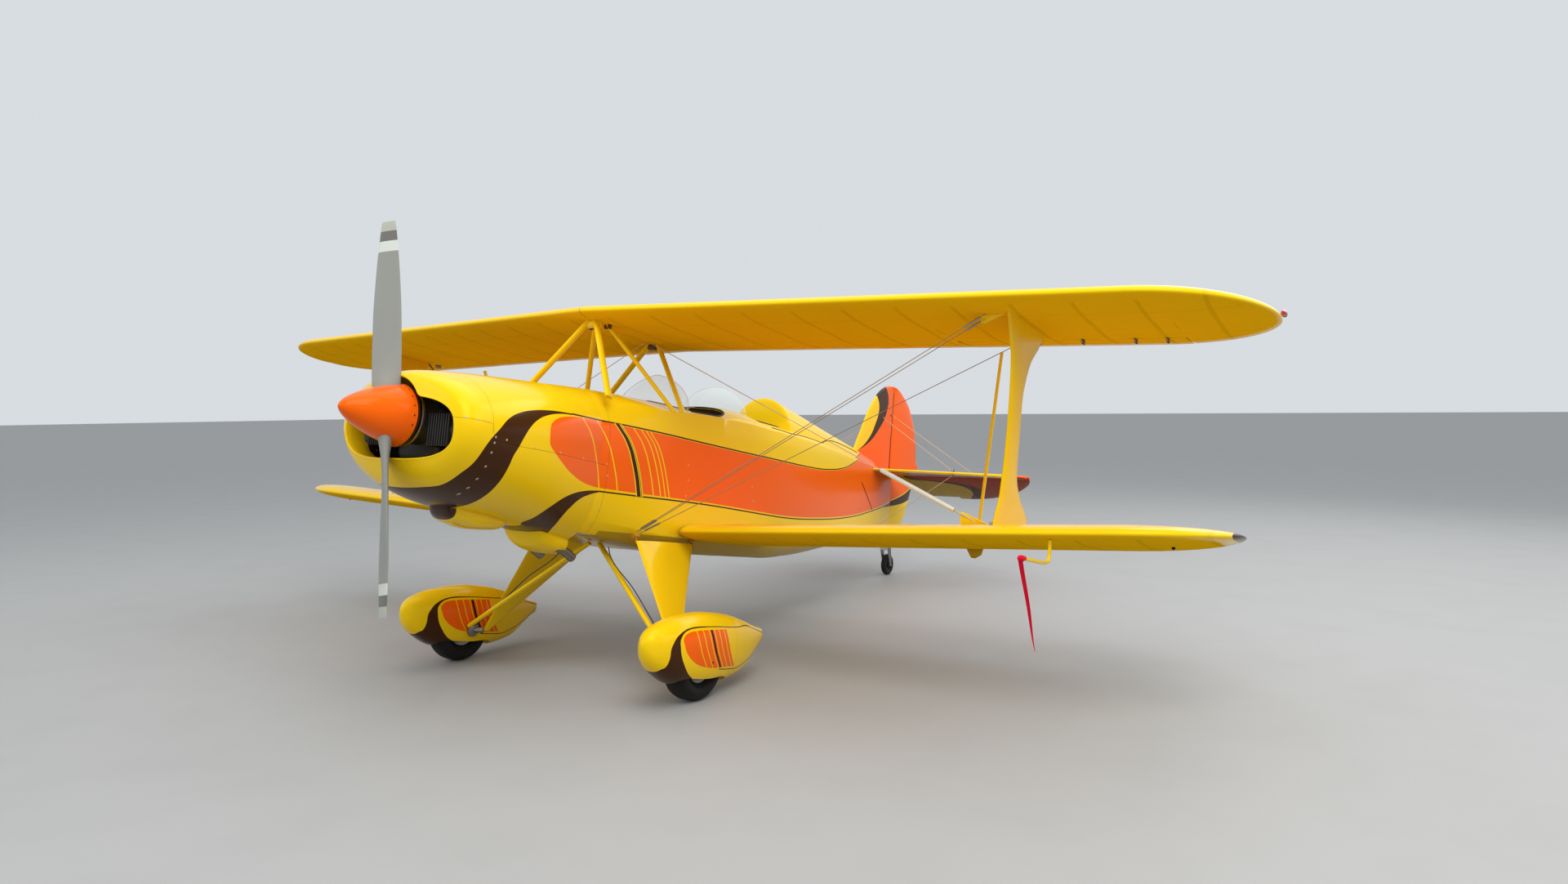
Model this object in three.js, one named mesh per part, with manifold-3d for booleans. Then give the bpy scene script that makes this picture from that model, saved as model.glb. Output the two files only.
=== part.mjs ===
// Tandem two-seat sport biplane, parked on its main wheels and tail wheel.
// Millimetres. Every piece is laid out in the level frame: station s runs aft from the
// propeller plane, y to port, z up from the thrust line. At the end the whole aircraft is
// tipped tail-down onto its wheels, so +X is forward, +Y port and +Z up from the ground.
import * as THREE from 'three';
import { mergeVertices } from 'three/addons/utils/BufferGeometryUtils.js';
import Module from 'manifold-3d';

const wasm = await Module();
wasm.setup();

// Driving dimensions
const ATTITUDE = THREE.MathUtils.degToRad(8.974);
const HUB_AHEAD_OF_AXLE = 1211.6;
const HUB_HEIGHT = 1553.7;
const TAIL_WHEEL_BEHIND_AXLE = 4255.7;
const WHEEL_TRACK = 1825.6;
const MAIN_TYRE_RADIUS = 200;
const MAIN_TYRE_WIDTH = 150;
const TAIL_TYRE_RADIUS = 95;
const PROPELLER_DIAMETER = 1942;
const PROPELLER_TURN = THREE.MathUtils.degToRad(-8.15);
const SPINNER_RADIUS = 155;
const FIT_GAP = 0.4;
const HINGE_GAP = 7;
const WING_THICKNESS = 0.12;
const ELEVATOR_DROOP = THREE.MathUtils.degToRad(25);

const UPPER_WING = {
  leadingEdge: 1255, sweep: Math.tan(THREE.MathUtils.degToRad(6.17)), height: 797, dihedral: 0,
  incidence: Math.tan(THREE.MathUtils.degToRad(2)), chord: 1070, root: 0.3, tipStart: 3050, tip: 3660,
  aileronFrom: 1975, aileronTo: 3190, tipRise: 0,
};
const LOWER_WING = {
  leadingEdge: 1820, sweep: 0, height: -473, dihedral: Math.tan(THREE.MathUtils.degToRad(2.84)),
  incidence: Math.tan(THREE.MathUtils.degToRad(1.5)), chord: 1070, root: 340, tipStart: 2930, tip: 3505,
  aileronFrom: 1900, aileronTo: 3060, tipRise: 28,
};
const AILERON_HINGE_FRACTION = 0.77;
const TIP_NOSE_SETBACK = 560;
const TIP_TAIL_SETBACK = 500;

const COLOURS = {
  yellow: 0xf5c400, orange: 0xf06818, dark: 0x2a2624, steel: 0x8d9094, glass: 0xcfe3dc, rubber: 0x17181a, seat: 0x4a3f36,
};

const at = (s, y, z) => new THREE.Vector3(-s, y, z);

// A solid skinned over rings of equal length, with both ends closed
function loft(rings) {
  const count = rings[0].length;
  const points = rings.flat();
  const index = [];
  for (let r = 0; r + 1 < rings.length; r++) {
    for (let i = 0; i < count; i++) {
      const j = (i + 1) % count;
      const a = r * count + i;
      const b = r * count + j;
      const c = a + count;
      const d = b + count;
      index.push(a, b, d, a, d, c);
    }
  }
  for (const [start, flip] of [[0, false], [(rings.length - 1) * count, true]]) {
    const centre = points.length;
    const middle = new THREE.Vector3();
    for (let i = 0; i < count; i++) middle.add(points[start + i]);
    points.push(middle.divideScalar(count));
    for (let i = 0; i < count; i++) {
      const j = (i + 1) % count;
      if (flip) index.push(start + i, start + j, centre);
      else index.push(start + j, start + i, centre);
    }
  }
  return facing(toGeometry(points, index));
}

// A closed sheet between an outer and an inner grid of equal size
function sheet(outer, inner) {
  const rows = outer.length;
  const columns = outer[0].length;
  const points = [...outer.flat(), ...inner.flat()];
  const shift = rows * columns;
  const index = [];
  const quad = (a, b, c, d) => index.push(a, b, c, a, c, d);
  for (let r = 0; r + 1 < rows; r++) {
    for (let c = 0; c + 1 < columns; c++) {
      const a = r * columns + c;
      quad(a, a + 1, a + columns + 1, a + columns);
      quad(shift + a, shift + a + columns, shift + a + columns + 1, shift + a + 1);
    }
  }
  for (let c = 0; c + 1 < columns; c++) {
    const last = (rows - 1) * columns + c;
    quad(c + 1, c, shift + c, shift + c + 1);
    quad(last, last + 1, shift + last + 1, shift + last);
  }
  for (let r = 0; r + 1 < rows; r++) {
    const first = r * columns;
    const last = first + columns - 1;
    quad(first, first + columns, shift + first + columns, shift + first);
    quad(last + columns, last, shift + last, shift + last + columns);
  }
  return facing(toGeometry(points, index));
}

function toGeometry(points, index) {
  const geometry = new THREE.BufferGeometry();
  geometry.setAttribute('position', new THREE.Float32BufferAttribute(points.flatMap((p) => [p.x, p.y, p.z]), 3));
  geometry.setIndex(index);
  return geometry;
}

function signedVolume(geometry) {
  const p = geometry.attributes.position;
  const index = geometry.index.array;
  const [a, b, c] = [new THREE.Vector3(), new THREE.Vector3(), new THREE.Vector3()];
  let sum = 0;
  for (let i = 0; i < index.length; i += 3) {
    a.fromBufferAttribute(p, index[i]);
    b.fromBufferAttribute(p, index[i + 1]);
    c.fromBufferAttribute(p, index[i + 2]);
    sum += a.dot(b.cross(c)) / 6;
  }
  return sum;
}

function facing(geometry) {
  if (signedVolume(geometry) < 0) {
    const index = geometry.index.array;
    for (let i = 0; i < index.length; i += 3) [index[i], index[i + 1]] = [index[i + 1], index[i]];
  }
  return geometry;
}

function toSolid(geometry) {
  const bare = geometry.clone();
  bare.deleteAttribute('normal');
  bare.deleteAttribute('uv');
  const merged = facing(mergeVertices(bare, 1e-3));
  const mesh = new wasm.Mesh({
    numProp: 3,
    vertProperties: new Float32Array(merged.attributes.position.array),
    triVerts: new Uint32Array(merged.index.array),
  });
  return new wasm.Manifold(mesh);
}

function toPlain(solid) {
  const mesh = solid.getMesh();
  const geometry = new THREE.BufferGeometry();
  geometry.setAttribute('position', new THREE.BufferAttribute(new Float32Array(mesh.vertProperties), 3));
  geometry.setIndex(new THREE.BufferAttribute(new Uint32Array(mesh.triVerts), 1));
  return geometry;
}

// A body and the fitting gap around it
function withGap(solid) {
  const shifts = [[1, 0, 0], [-1, 0, 0], [0, 1, 0], [0, -1, 0], [0, 0, 1], [0, 0, -1]];
  return shifts.reduce((all, [x, y, z]) => all.add(solid.translate(x * FIT_GAP, y * FIT_GAP, z * FIT_GAP)), solid);
}

// A block between two corners of the level frame
function block(s0, s1, y0, y1, z0, z1) {
  const geometry = new THREE.BoxGeometry(Math.abs(s1 - s0), Math.abs(y1 - y0), Math.abs(z1 - z0));
  geometry.translate(-(s0 + s1) / 2, (y0 + y1) / 2, (z0 + z1) / 2);
  return geometry;
}

// A round rod between two points
function rod(from, to, radius, sides = 12) {
  const geometry = new THREE.CylinderGeometry(radius, radius, from.distanceTo(to), sides);
  const turn = new THREE.Quaternion().setFromUnitVectors(
    new THREE.Vector3(0, 1, 0), to.clone().sub(from).normalize());
  geometry.applyQuaternion(turn);
  geometry.translate((from.x + to.x) / 2, (from.y + to.y) / 2, (from.z + to.z) / 2);
  return geometry;
}

// A rod of streamlined section between two points, its chord lying fore and aft
function fairedRod(from, to, chord, thickness, sides = 12) {
  const along = to.clone().sub(from).normalize();
  const aft = new THREE.Vector3(-1, 0, 0);
  aft.addScaledVector(along, -aft.dot(along)).normalize();
  const across = new THREE.Vector3().crossVectors(along, aft);
  return loft([from, to].map((end) => {
    const ring = [];
    for (let i = 0; i < sides; i++) {
      const angle = (i / sides) * Math.PI * 2;
      const run = (-Math.cos(angle) * chord) / 2;
      const rise = Math.sin(angle) * (1 + 0.25 * Math.cos(angle)) * (thickness / 2);
      ring.push(end.clone().addScaledVector(aft, run).addScaledVector(across, rise));
    }
    return ring;
  }));
}

// Wings
const thicknessAt = (x) => 5 * WING_THICKNESS
  * (0.2969 * Math.sqrt(x) - 0.126 * x - 0.3516 * x ** 2 + 0.2843 * x ** 3 - 0.1036 * x ** 4);

// The underside is flatter than the top, up to the ailerons
const UNDERSIDE = { share: 0.68, full: 0.45 };

function skinAt(x, side) {
  if (side > 0) return thicknessAt(x);
  const t = THREE.MathUtils.clamp((x - UNDERSIDE.full) / (AILERON_HINGE_FRACTION - UNDERSIDE.full), 0, 1);
  return -thicknessAt(x) * (UNDERSIDE.share + (1 - UNDERSIDE.share) * t * t * (3 - 2 * t));
}

// Nose station, chord and relative thickness of a wing at a distance y from the centre line
function wingSection(wing, y) {
  const nose = wing.leadingEdge + wing.sweep * y;
  const beyond = Math.max(0, (y - wing.tipStart) / (wing.tip - wing.tipStart));
  const left = Math.sqrt(Math.max(0, 1 - beyond ** 2));
  return {
    nose: nose + TIP_NOSE_SETBACK * (1 - left),
    chord: wing.chord - (TIP_NOSE_SETBACK + TIP_TAIL_SETBACK) * (1 - left),
    height: wing.height + wing.dihedral * y + (wing.tipRise - wing.incidence * TIP_NOSE_SETBACK) * (1 - left),
  };
}

function surfaceHeight(wing, s, y, side) {
  const { nose, chord, height } = wingSection(wing, y);
  const x = (s - nose) / chord;
  return height - wing.incidence * (s - nose) + skinAt(x, side) * chord;
}

function wingRing(wing, y, sign) {
  const { nose, chord, height } = wingSection(wing, y);
  const fractions = [0.004, 0.02, 0.06, 0.14, 0.27, 0.45, 0.65, 0.84];
  const ring = [];
  const place = (x, side) => ring.push(at(
    nose + x * chord, sign * y, height - wing.incidence * x * chord + skinAt(x, side) * chord));
  place(0, 0);
  for (const x of fractions) place(x, 1);
  place(1, 1);
  place(1, -1);
  for (const x of [...fractions].reverse()) place(x, -1);
  return ring;
}

const hingeStation = (wing, y) => wing.leadingEdge + wing.sweep * y + AILERON_HINGE_FRACTION * wing.chord;

function hingeHeight(wing, y) {
  return wing.height + wing.dihedral * y - wing.incidence * AILERON_HINGE_FRACTION * wing.chord;
}

function wingBody(wing, sign) {
  const stations = [wing.root, wing.tipStart];
  for (const turn of [18, 34, 48, 60, 70, 78, 84, 88]) {
    stations.push(wing.tipStart + (wing.tip - wing.tipStart) * Math.sin(THREE.MathUtils.degToRad(turn)));
  }
  return toSolid(loft(stations.map((y) => wingRing(wing, y, sign))));
}

const noseRadius = (wing) => thicknessAt(AILERON_HINGE_FRACTION) * wing.chord;

// The bay behind the hinge line that the aileron fills
function aileronBay(wing, sign) {
  const front = noseRadius(wing) + HINGE_GAP;
  const far = wing.chord;
  const deep = 200;
  const corner = (y) => {
    const s = hingeStation(wing, y) - front;
    const z = hingeHeight(wing, y);
    return [at(s, sign * y, z - deep), at(s, sign * y, z + deep), at(s + far, sign * y, z + deep),
      at(s + far, sign * y, z - deep)];
  };
  return toSolid(loft([corner(wing.aileronFrom), corner(wing.aileronTo)]));
}

function aileron(wing, sign) {
  const ring = (y) => {
    const { chord, nose } = wingSection(wing, y);
    const s = hingeStation(wing, y);
    const z = hingeHeight(wing, y);
    const radius = noseRadius(wing);
    const points = [];
    for (let i = 0; i <= 6; i++) {
      const angle = (i / 6) * Math.PI;
      points.push(at(s - Math.sin(angle) * radius, sign * y, z + Math.cos(angle) * radius));
    }
    const end = nose + chord;
    const tail = z - wing.incidence * (end - s);
    points.push(at(end, sign * y, tail - 1.5));
    points.push(at(end, sign * y, tail + 1.5));
    return points;
  };
  const inner = wing.aileronFrom + HINGE_GAP;
  const outer = wing.aileronTo - HINGE_GAP;
  const stations = [inner, wing.tipStart, (wing.tipStart + outer) / 2, outer];
  return loft(stations.map(ring));
}

// Fuselage
const FUSELAGE = [
  { s: 1150, width: 360, top: 325, shoulder: 285, hip: -480, keel: -575 },
  { s: 1700, width: 370, top: 355, shoulder: 290, hip: -485, keel: -583 },
  { s: 2300, width: 375, top: 380, shoulder: 298, hip: -490, keel: -590 },
  { s: 2440, width: 373, top: 398, shoulder: 298, hip: -490, keel: -590 },
  { s: 2560, width: 371, top: 414, shoulder: 298, hip: -490, keel: -589 },
  { s: 2720, width: 368, top: 408, shoulder: 298, hip: -490, keel: -589 },
  { s: 2860, width: 365, top: 386, shoulder: 298, hip: -490, keel: -588 },
  { s: 3000, width: 362, top: 385, shoulder: 298, hip: -490, keel: -588 },
  { s: 3400, width: 335, top: 378, shoulder: 292, hip: -475, keel: -560 },
  { s: 4000, width: 265, top: 350, shoulder: 280, hip: -415, keel: -485 },
  { s: 4700, width: 165, top: 305, shoulder: 262, hip: -335, keel: -375 },
  { s: 5200, width: 95, top: 272, shoulder: 250, hip: -270, keel: -295 },
  { s: 5520, width: 40, top: 250, shoulder: 242, hip: -225, keel: -240 },
];

function hullRing({ s, width, top, shoulder, hip, keel }, shrink = 0) {
  const w = width - shrink;
  const half = [];
  for (let i = 0; i <= 4; i++) {
    const angle = (i / 4) * (Math.PI / 2);
    half.push([w * Math.sin(angle), shoulder + (top - shrink - shoulder) * Math.cos(angle)]);
  }
  const corner = 0.3 * w;
  for (let i = 0; i <= 3; i++) {
    const angle = (i / 3) * (Math.PI / 2);
    half.push([w - corner + corner * Math.cos(angle), hip - (hip - keel - shrink) * Math.sin(angle)]);
  }
  const ring = half.map(([y, z]) => at(s, y, z));
  for (const [y, z] of half.slice(1).reverse()) ring.push(at(s, -y, z));
  return ring;
}

function rowAt(rows, s) {
  const k = Math.max(1, rows.findIndex((row) => row.s >= s));
  const [a, b] = [rows[k - 1], rows[k]];
  const t = (s - a.s) / (b.s - a.s);
  const row = { s };
  for (const key of Object.keys(a)) if (key !== 's') row[key] = a[key] + (b[key] - a[key]) * t;
  return row;
}

const CABIN = { front: 1700, rear: 3290, wall: 22, floor: -430 };
const FRONT_COCKPIT = { from: 1960, to: 2440, half: 325, corner: 110 };
const REAR_COCKPIT = { from: 2740, to: 3275, half: 250, corner: 150 };

// An upright prism with rounded ends through the deck
function cockpitHole({ from, to, half, corner: r }) {
  const shape = new THREE.Shape();
  shape.moveTo(-from, -half + r);
  shape.lineTo(-from, half - r);
  shape.quadraticCurveTo(-from, half, -from - r, half);
  shape.lineTo(-to + r, half);
  shape.quadraticCurveTo(-to, half, -to, half - r);
  shape.lineTo(-to, -half + r);
  shape.quadraticCurveTo(-to, -half, -to + r, -half);
  shape.lineTo(-from - r, -half);
  shape.quadraticCurveTo(-from, -half, -from, -half + r);
  const geometry = new THREE.ExtrudeGeometry(shape, { depth: 400, bevelEnabled: false, curveSegments: 4 });
  geometry.translate(0, 0, 200);
  return toSolid(geometry);
}

const hullSolid = toSolid(loft(FUSELAGE.map((row) => hullRing(row))));
const clearHull = withGap(hullSolid);

function fuselage(torqueTubeSlot) {
  const rows = [CABIN.front, 2300, 2440, 2560, 2720, 2860, 3000, CABIN.rear].map((s) => ({ ...rowAt(FUSELAGE, s), keel: CABIN.floor - CABIN.wall, hip: CABIN.floor + 60 }));
  const cabin = toSolid(loft(rows.map((row) => hullRing(row, CABIN.wall))));
  return toPlain(hullSolid.subtract(cabin).subtract(cockpitHole(FRONT_COCKPIT))
    .subtract(cockpitHole(REAR_COCKPIT)).subtract(torqueTubeSlot));
}

const EXHAUST = { from: 1160, to: 1258, y: 120, height: -618, radius: 26 };

// Pitot mast under the port wing
const PITOT = { s: 1874, y: 2680, drop: 112, reach: 420, rise: 12, radius: 9 };

function pitotMast() {
  const top = surfaceHeight(LOWER_WING, PITOT.s + PITOT.radius, PITOT.y, -1) - 2 * FIT_GAP;
  const curve = new THREE.CatmullRomCurve3([at(PITOT.s, PITOT.y, top), at(PITOT.s, PITOT.y, top - PITOT.drop * 0.55),
    at(PITOT.s - 12, PITOT.y, top - PITOT.drop * 0.92), at(PITOT.s - 50, PITOT.y, top - PITOT.drop),
    at(PITOT.s - PITOT.reach, PITOT.y, top - PITOT.drop + PITOT.rise)]);
  const shape = new THREE.Shape();
  shape.absarc(0, 0, PITOT.radius, 0, Math.PI * 2);
  return new THREE.ExtrudeGeometry(shape, { steps: 14, curveSegments: 5, bevelEnabled: false, extrudePath: curve });
}

// Tie-down lug under each lower wing
const LUG = { s: 1930, y: 2385, half: 22, thick: 8, drop: 46, hole: 9 };

function tieDownLug(sign) {
  const z = surfaceHeight(LOWER_WING, LUG.s, LUG.y, -1);
  const plate = toSolid(block(LUG.s - LUG.half, LUG.s + LUG.half, sign * (LUG.y - LUG.thick / 2),
    sign * (LUG.y + LUG.thick / 2), z - LUG.drop, z + 20));
  const eye = rod(at(LUG.s, sign * LUG.y - 20, z - LUG.drop + 20), at(LUG.s, sign * LUG.y + 20, z - LUG.drop + 20), LUG.hole, 16);
  return plate.subtract(toSolid(eye));
}

// Headrest and turtledeck
const TURTLEDECK = [
  { s: 3315, width: 266, top: 600 },
  { s: 3650, width: 250, top: 548 },
  { s: 4010, width: 220, top: 492 },
  { s: 4400, width: 165, top: 440 },
  { s: 4810, width: 100, top: 388 },
  { s: 5150, width: 50, top: 330 },
];

function turtledeck() {
  const rings = TURTLEDECK.map(({ s, width, top }) => {
    const ring = [];
    for (let i = 0; i <= 12; i++) {
      const angle = (i / 12) * Math.PI;
      ring.push(at(s, width * Math.cos(angle), 250 + (top - 250) * Math.sin(angle) ** 0.8));
    }
    return ring;
  });
  return toSolid(loft(rings));
}

// Cowling
const COWL = [
  { s: 46, width: 268, top: 200, low: -215, middle: -20 },
  { s: 66, width: 370, top: 214, low: -255, middle: -30 },
  { s: 92, width: 436, top: 224, low: -300, middle: -40 },
  { s: 130, width: 464, top: 234, low: -342, middle: -40 },
  { s: 180, width: 474, top: 242, low: -372, middle: -42 },
  { s: 350, width: 478, top: 262, low: -422, middle: -50 },
  { s: 650, width: 460, top: 285, low: -458, middle: -60 },
  { s: 900, width: 415, top: 303, low: -500, middle: -60 },
  { s: 1149, width: 362, top: 325, low: -560, middle: -60 },
];

function cowlRing({ s, width, top, low, middle }, shrink = 0) {
  const ring = [];
  for (let i = 0; i < 28; i++) {
    const angle = (i / 28) * Math.PI * 2;
    const c = Math.cos(angle);
    const d = Math.sin(angle);
    const power = 0.74 + 0.3 * Math.max(0, 1 - s / 900);
    const reach = d > 0 ? top - middle - shrink : middle - low - shrink;
    ring.push(at(s, (width - shrink) * Math.sign(c) * Math.abs(c) ** power,
      middle + reach * Math.sign(d) * Math.abs(d) ** power));
  }
  return ring;
}

const COWL_SKIN = 14;
const COWL_SPLIT = 0;
const MOUTH = { width: 392, height: 150, middle: -60, round: 187 };

function cowlHalves() {
  const outer = toSolid(loft(COWL.map((row) => cowlRing(row))));
  const inside = COWL.slice(2).map((row) => ({ ...row }));
  inside[0].s = 106;
  inside[inside.length - 1].s = 1160;
  const inner = toSolid(loft(inside.map((row) => cowlRing(row, COWL_SKIN))));
  const mouth = new THREE.CylinderGeometry(1, 1, 200, 32);
  mouth.rotateZ(Math.PI / 2);
  mouth.scale(1, MOUTH.width, MOUTH.height);
  mouth.translate(-50, 0, MOUTH.middle);
  const ring = new THREE.CylinderGeometry(MOUTH.round, MOUTH.round, 200, 48);
  ring.rotateZ(Math.PI / 2);
  ring.translate(-50, 0, 0);
  const shell = outer.subtract(inner).subtract(toSolid(mouth)).subtract(toSolid(ring));
  const above = toSolid(block(-50, 1300, -600, 600, COWL_SPLIT + FIT_GAP / 2, 700));
  const below = toSolid(block(-50, 1300, -600, 600, -900, COWL_SPLIT - FIT_GAP / 2));
  return [toPlain(shell.intersect(above)), toPlain(shell.intersect(below))];
}

// Fairings under the cowling: a closed body skinned over rounded oblong rings
function fairing(rows) {
  return loft(rows.map(({ s, width, top, low }) => {
    const ring = [];
    for (let i = 0; i < 20; i++) {
      const angle = (i / 20) * Math.PI * 2;
      const c = Math.cos(angle);
      const d = Math.sin(angle);
      ring.push(at(s, width * Math.sign(c) * Math.abs(c) ** 0.7,
        (top + low) / 2 + ((top - low) / 2) * Math.sign(d) * Math.abs(d) ** 0.7));
    }
    return ring;
  }));
}

const SCOOP = [
  { s: 378, width: 72, top: -380, low: -462 },
  { s: 450, width: 112, top: -385, low: -503 },
  { s: 580, width: 122, top: -400, low: -526 },
  { s: 690, width: 108, top: -420, low: -524 },
  { s: 765, width: 82, top: -440, low: -508 },
];
const OUTLET = [
  { s: 960, width: 185, top: -430, low: -525 },
  { s: 1010, width: 200, top: -430, low: -606 },
  { s: 1110, width: 210, top: -480, low: -634 },
  { s: 1150, width: 205, top: -490, low: -636 },
];

// Spinner and propeller
const PROPELLER = [
  { r: 200, chord: 140, twist: 40, thick: 0.26 },
  { r: 300, chord: 150, twist: 34, thick: 0.22 },
  { r: 480, chord: 162, twist: 27, thick: 0.15 },
  { r: 680, chord: 150, twist: 21, thick: 0.12 },
  { r: 860, chord: 124, twist: 17, thick: 0.1 },
  { r: 945, chord: 92, twist: 15.5, thick: 0.1 },
  { r: PROPELLER_DIAMETER / 2, chord: 46, twist: 15, thick: 0.1 },
];
const SHANK = { radius: 42, length: 158 };

function propellerBlade() {
  const sides = 16;
  const ring = ({ r, chord, twist, thick, round = 0 }) => {
    const points = [];
    const turn = THREE.MathUtils.degToRad(twist);
    for (let i = 0; i < sides; i++) {
      const angle = (i / sides) * Math.PI * 2;
      const run = Math.cos(angle) * (chord / 2);
      const flat = Math.sin(angle) * (chord / 2) * thick * (1 + 0.35 * Math.cos(angle));
      const rise = round ? Math.sin(angle) * (chord / 2) : flat;
      points.push(new THREE.Vector3(run * Math.sin(turn) + rise * Math.cos(turn),
        -run * Math.cos(turn) + rise * Math.sin(turn), r));
    }
    return points;
  };
  const rows = [
    { r: -SHANK.length / 2, chord: SHANK.radius * 2, twist: 40, thick: 1, round: 1 },
    { r: SHANK.length, chord: SHANK.radius * 2, twist: 40, thick: 1, round: 1 },
    ...PROPELLER,
  ];
  return toSolid(loft(rows.map(ring)));
}

function propeller() {
  const blade = propellerBlade();
  const both = blade.add(blade.rotate([180, 0, 0]));
  return both.rotate([THREE.MathUtils.radToDeg(-PROPELLER_TURN), 0, 0]);
}

const SPINNER = [
  [0, -261], [11, -256], [30, -240], [54, -208], [78, -165], [100, -115], [120, -62], [136, -8], [148, 38],
  [SPINNER_RADIUS, 66], [SPINNER_RADIUS, 77], [0, 77],
];

function spinner() {
  const outline = SPINNER.map(([r, s]) => new THREE.Vector2(r, -s));
  const cone = new THREE.LatheGeometry(outline, 40);
  cone.rotateZ(-Math.PI / 2);
  const shank = rod(new THREE.Vector3(0, 0, -300), new THREE.Vector3(0, 0, 300), SHANK.radius + FIT_GAP, 24);
  shank.rotateX(-PROPELLER_TURN);
  return toSolid(cone).subtract(toSolid(shank));
}

// Struts and wires
const STRUT = [
  { z: -330, y: 2345, front: 1950, rear: 2530, thick: 26 },
  { z: -250, y: 2352, front: 1975, rear: 2480, thick: 28 },
  { z: -150, y: 2362, front: 2005, rear: 2320, thick: 32 },
  { z: -40, y: 2375, front: 2000, rear: 2205, thick: 34 },
  { z: 180, y: 2402, front: 1960, rear: 2140, thick: 34 },
  { z: 400, y: 2430, front: 1895, rear: 2080, thick: 34 },
  { z: 560, y: 2448, front: 1830, rear: 2120, thick: 32 },
  { z: 680, y: 2462, front: 1740, rear: 2225, thick: 28 },
  { z: 800, y: 2476, front: 1640, rear: 2300, thick: 26 },
];

function interplaneStrut(sign, above, below) {
  const rings = STRUT.map(({ z, y, front, rear, thick }) => {
    const ring = [];
    for (let i = 0; i < 12; i++) {
      const angle = (i / 12) * Math.PI * 2;
      const s = (front + rear) / 2 - (Math.cos(angle) * (rear - front)) / 2;
      ring.push(at(s, sign * y + Math.sin(angle) * (thick / 2), z));
    }
    return ring;
  });
  return toPlain(toSolid(loft(rings)).subtract(above).subtract(below));
}

const CABANE = [
  { name: 'cabane_front', foot: [1180, 340, 262], head: [1385, 16, 765], chord: 50 },
  { name: 'cabane_rear', foot: [1870, 348, 268], head: [1975, 16, 765], chord: 50 },
  { name: 'cabane_diagonal', foot: [1775, 348, 268], head: [1450, 40, 765], chord: 36 },
];

// Streamlined wires: ends as station, y, wing, side of that wing (1 above, -1 below) or a plain height
const WIRES = [
  { name: 'flying_wire_front', low: [1488, 388, -472], high: [1725, 2350, null], width: 9 },
  { name: 'flying_wire_rear', low: [1512, 388, -480], high: [2205, 2434, null], width: 9 },
  { name: 'landing_wire', high: [1900, 20, null], low: [2090, 2235, null], width: 9 },
];
const WIRE_REACH = 3;

function stayWire({ low, high, width }, sign) {
  const top = at(high[0], sign * high[1], surfaceHeight(UPPER_WING, high[0], high[1], -1) - WIRE_REACH);
  const lowHeight = low[2] ?? surfaceHeight(LOWER_WING, low[0], low[1], 1) + WIRE_REACH;
  return fairedRod(at(low[0], sign * low[1], lowHeight), top, width, 5, 8);
}

// Rod that links each lower aileron to the upper one
const SLAVE_ROD = { lowY: 1925, highY: 2143, aft: 215, below: 26, chord: 34, thick: 16 };

// Lug that stands up from an aileron beside the slave rod's end
function aileronHorn(wing, y, sign, side) {
  const s = hingeStation(wing, y) + SLAVE_ROD.aft;
  const z = hingeHeight(wing, y) - wing.incidence * SLAVE_ROD.aft;
  const beside = sign * (y + SLAVE_ROD.thick / 2 + 12);
  return toSolid(block(s - 20, s + 20, beside - 3, beside + 3, z, z + side * (SLAVE_ROD.below + 24)));
}

function slaveRodEye(wing, y, sign, side) {
  const z = hingeHeight(wing, y) - wing.incidence * SLAVE_ROD.aft;
  return at(hingeStation(wing, y) + SLAVE_ROD.aft, sign * y, z + side * (SLAVE_ROD.below + 14));
}

// Landing gear
const onGround = (x, y, z) => {
  const dx = x - HUB_AHEAD_OF_AXLE;
  const dz = z - HUB_HEIGHT;
  const c = Math.cos(ATTITUDE);
  const d = Math.sin(ATTITUDE);
  return new THREE.Vector3(dx * c + dz * d, y, -dx * d + dz * c);
};
const AXLE = onGround(0, 0, MAIN_TYRE_RADIUS);
const TAIL_AXLE = onGround(-TAIL_WHEEL_BEHIND_AXLE, 0, TAIL_TYRE_RADIUS);
const AXLE_RADIUS = 18;
const WHEEL_Y = WHEEL_TRACK / 2;

const WHEEL_FACETS = 32;

// The tyre's flats touch the stated radius, and one of them lies on the ground
function tyreAndHub(flatRadius, width, hub, bore) {
  const w = width / 2;
  const radius = flatRadius / Math.cos(Math.PI / WHEEL_FACETS);
  const rows = [
    [bore, -w * 0.75], [hub * 0.45, -w * 0.75], [hub * 0.6, -w * 0.3], [hub * 0.9, -w * 0.3], [hub, -w * 0.75],
    [hub + (radius - hub) * 0.35, -w], [hub + (radius - hub) * 0.75, -w * 0.9], [radius, -w * 0.45],
    [radius, w * 0.45], [hub + (radius - hub) * 0.75, w * 0.9], [hub + (radius - hub) * 0.35, w],
    [hub, w * 0.75], [hub * 0.9, w * 0.3], [hub * 0.6, w * 0.3], [hub * 0.45, w * 0.75], [bore, w * 0.75],
    [bore, -w * 0.75],
  ];
  const wheel = new THREE.LatheGeometry(rows.map(([r, y]) => new THREE.Vector2(r, y)), WHEEL_FACETS);
  wheel.rotateY(ATTITUDE + Math.PI / WHEEL_FACETS);
  return wheel;
}

const PANT = [
  { s: -448, up: 128, down: 88, half: 14 },
  { s: -415, up: 170, down: 22, half: 54 },
  { s: -335, up: 210, down: -44, half: 92 },
  { s: -190, up: 247, down: -106, half: 120 },
  { s: 20, up: 268, down: -126, half: 130 },
  { s: 220, up: 256, down: -108, half: 122 },
  { s: 400, up: 222, down: -66, half: 96 },
  { s: 520, up: 188, down: 10, half: 66 },
  { s: 620, up: 160, down: 90, half: 34 },
  { s: 665, up: 146, down: 120, half: 12 },
];

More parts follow.
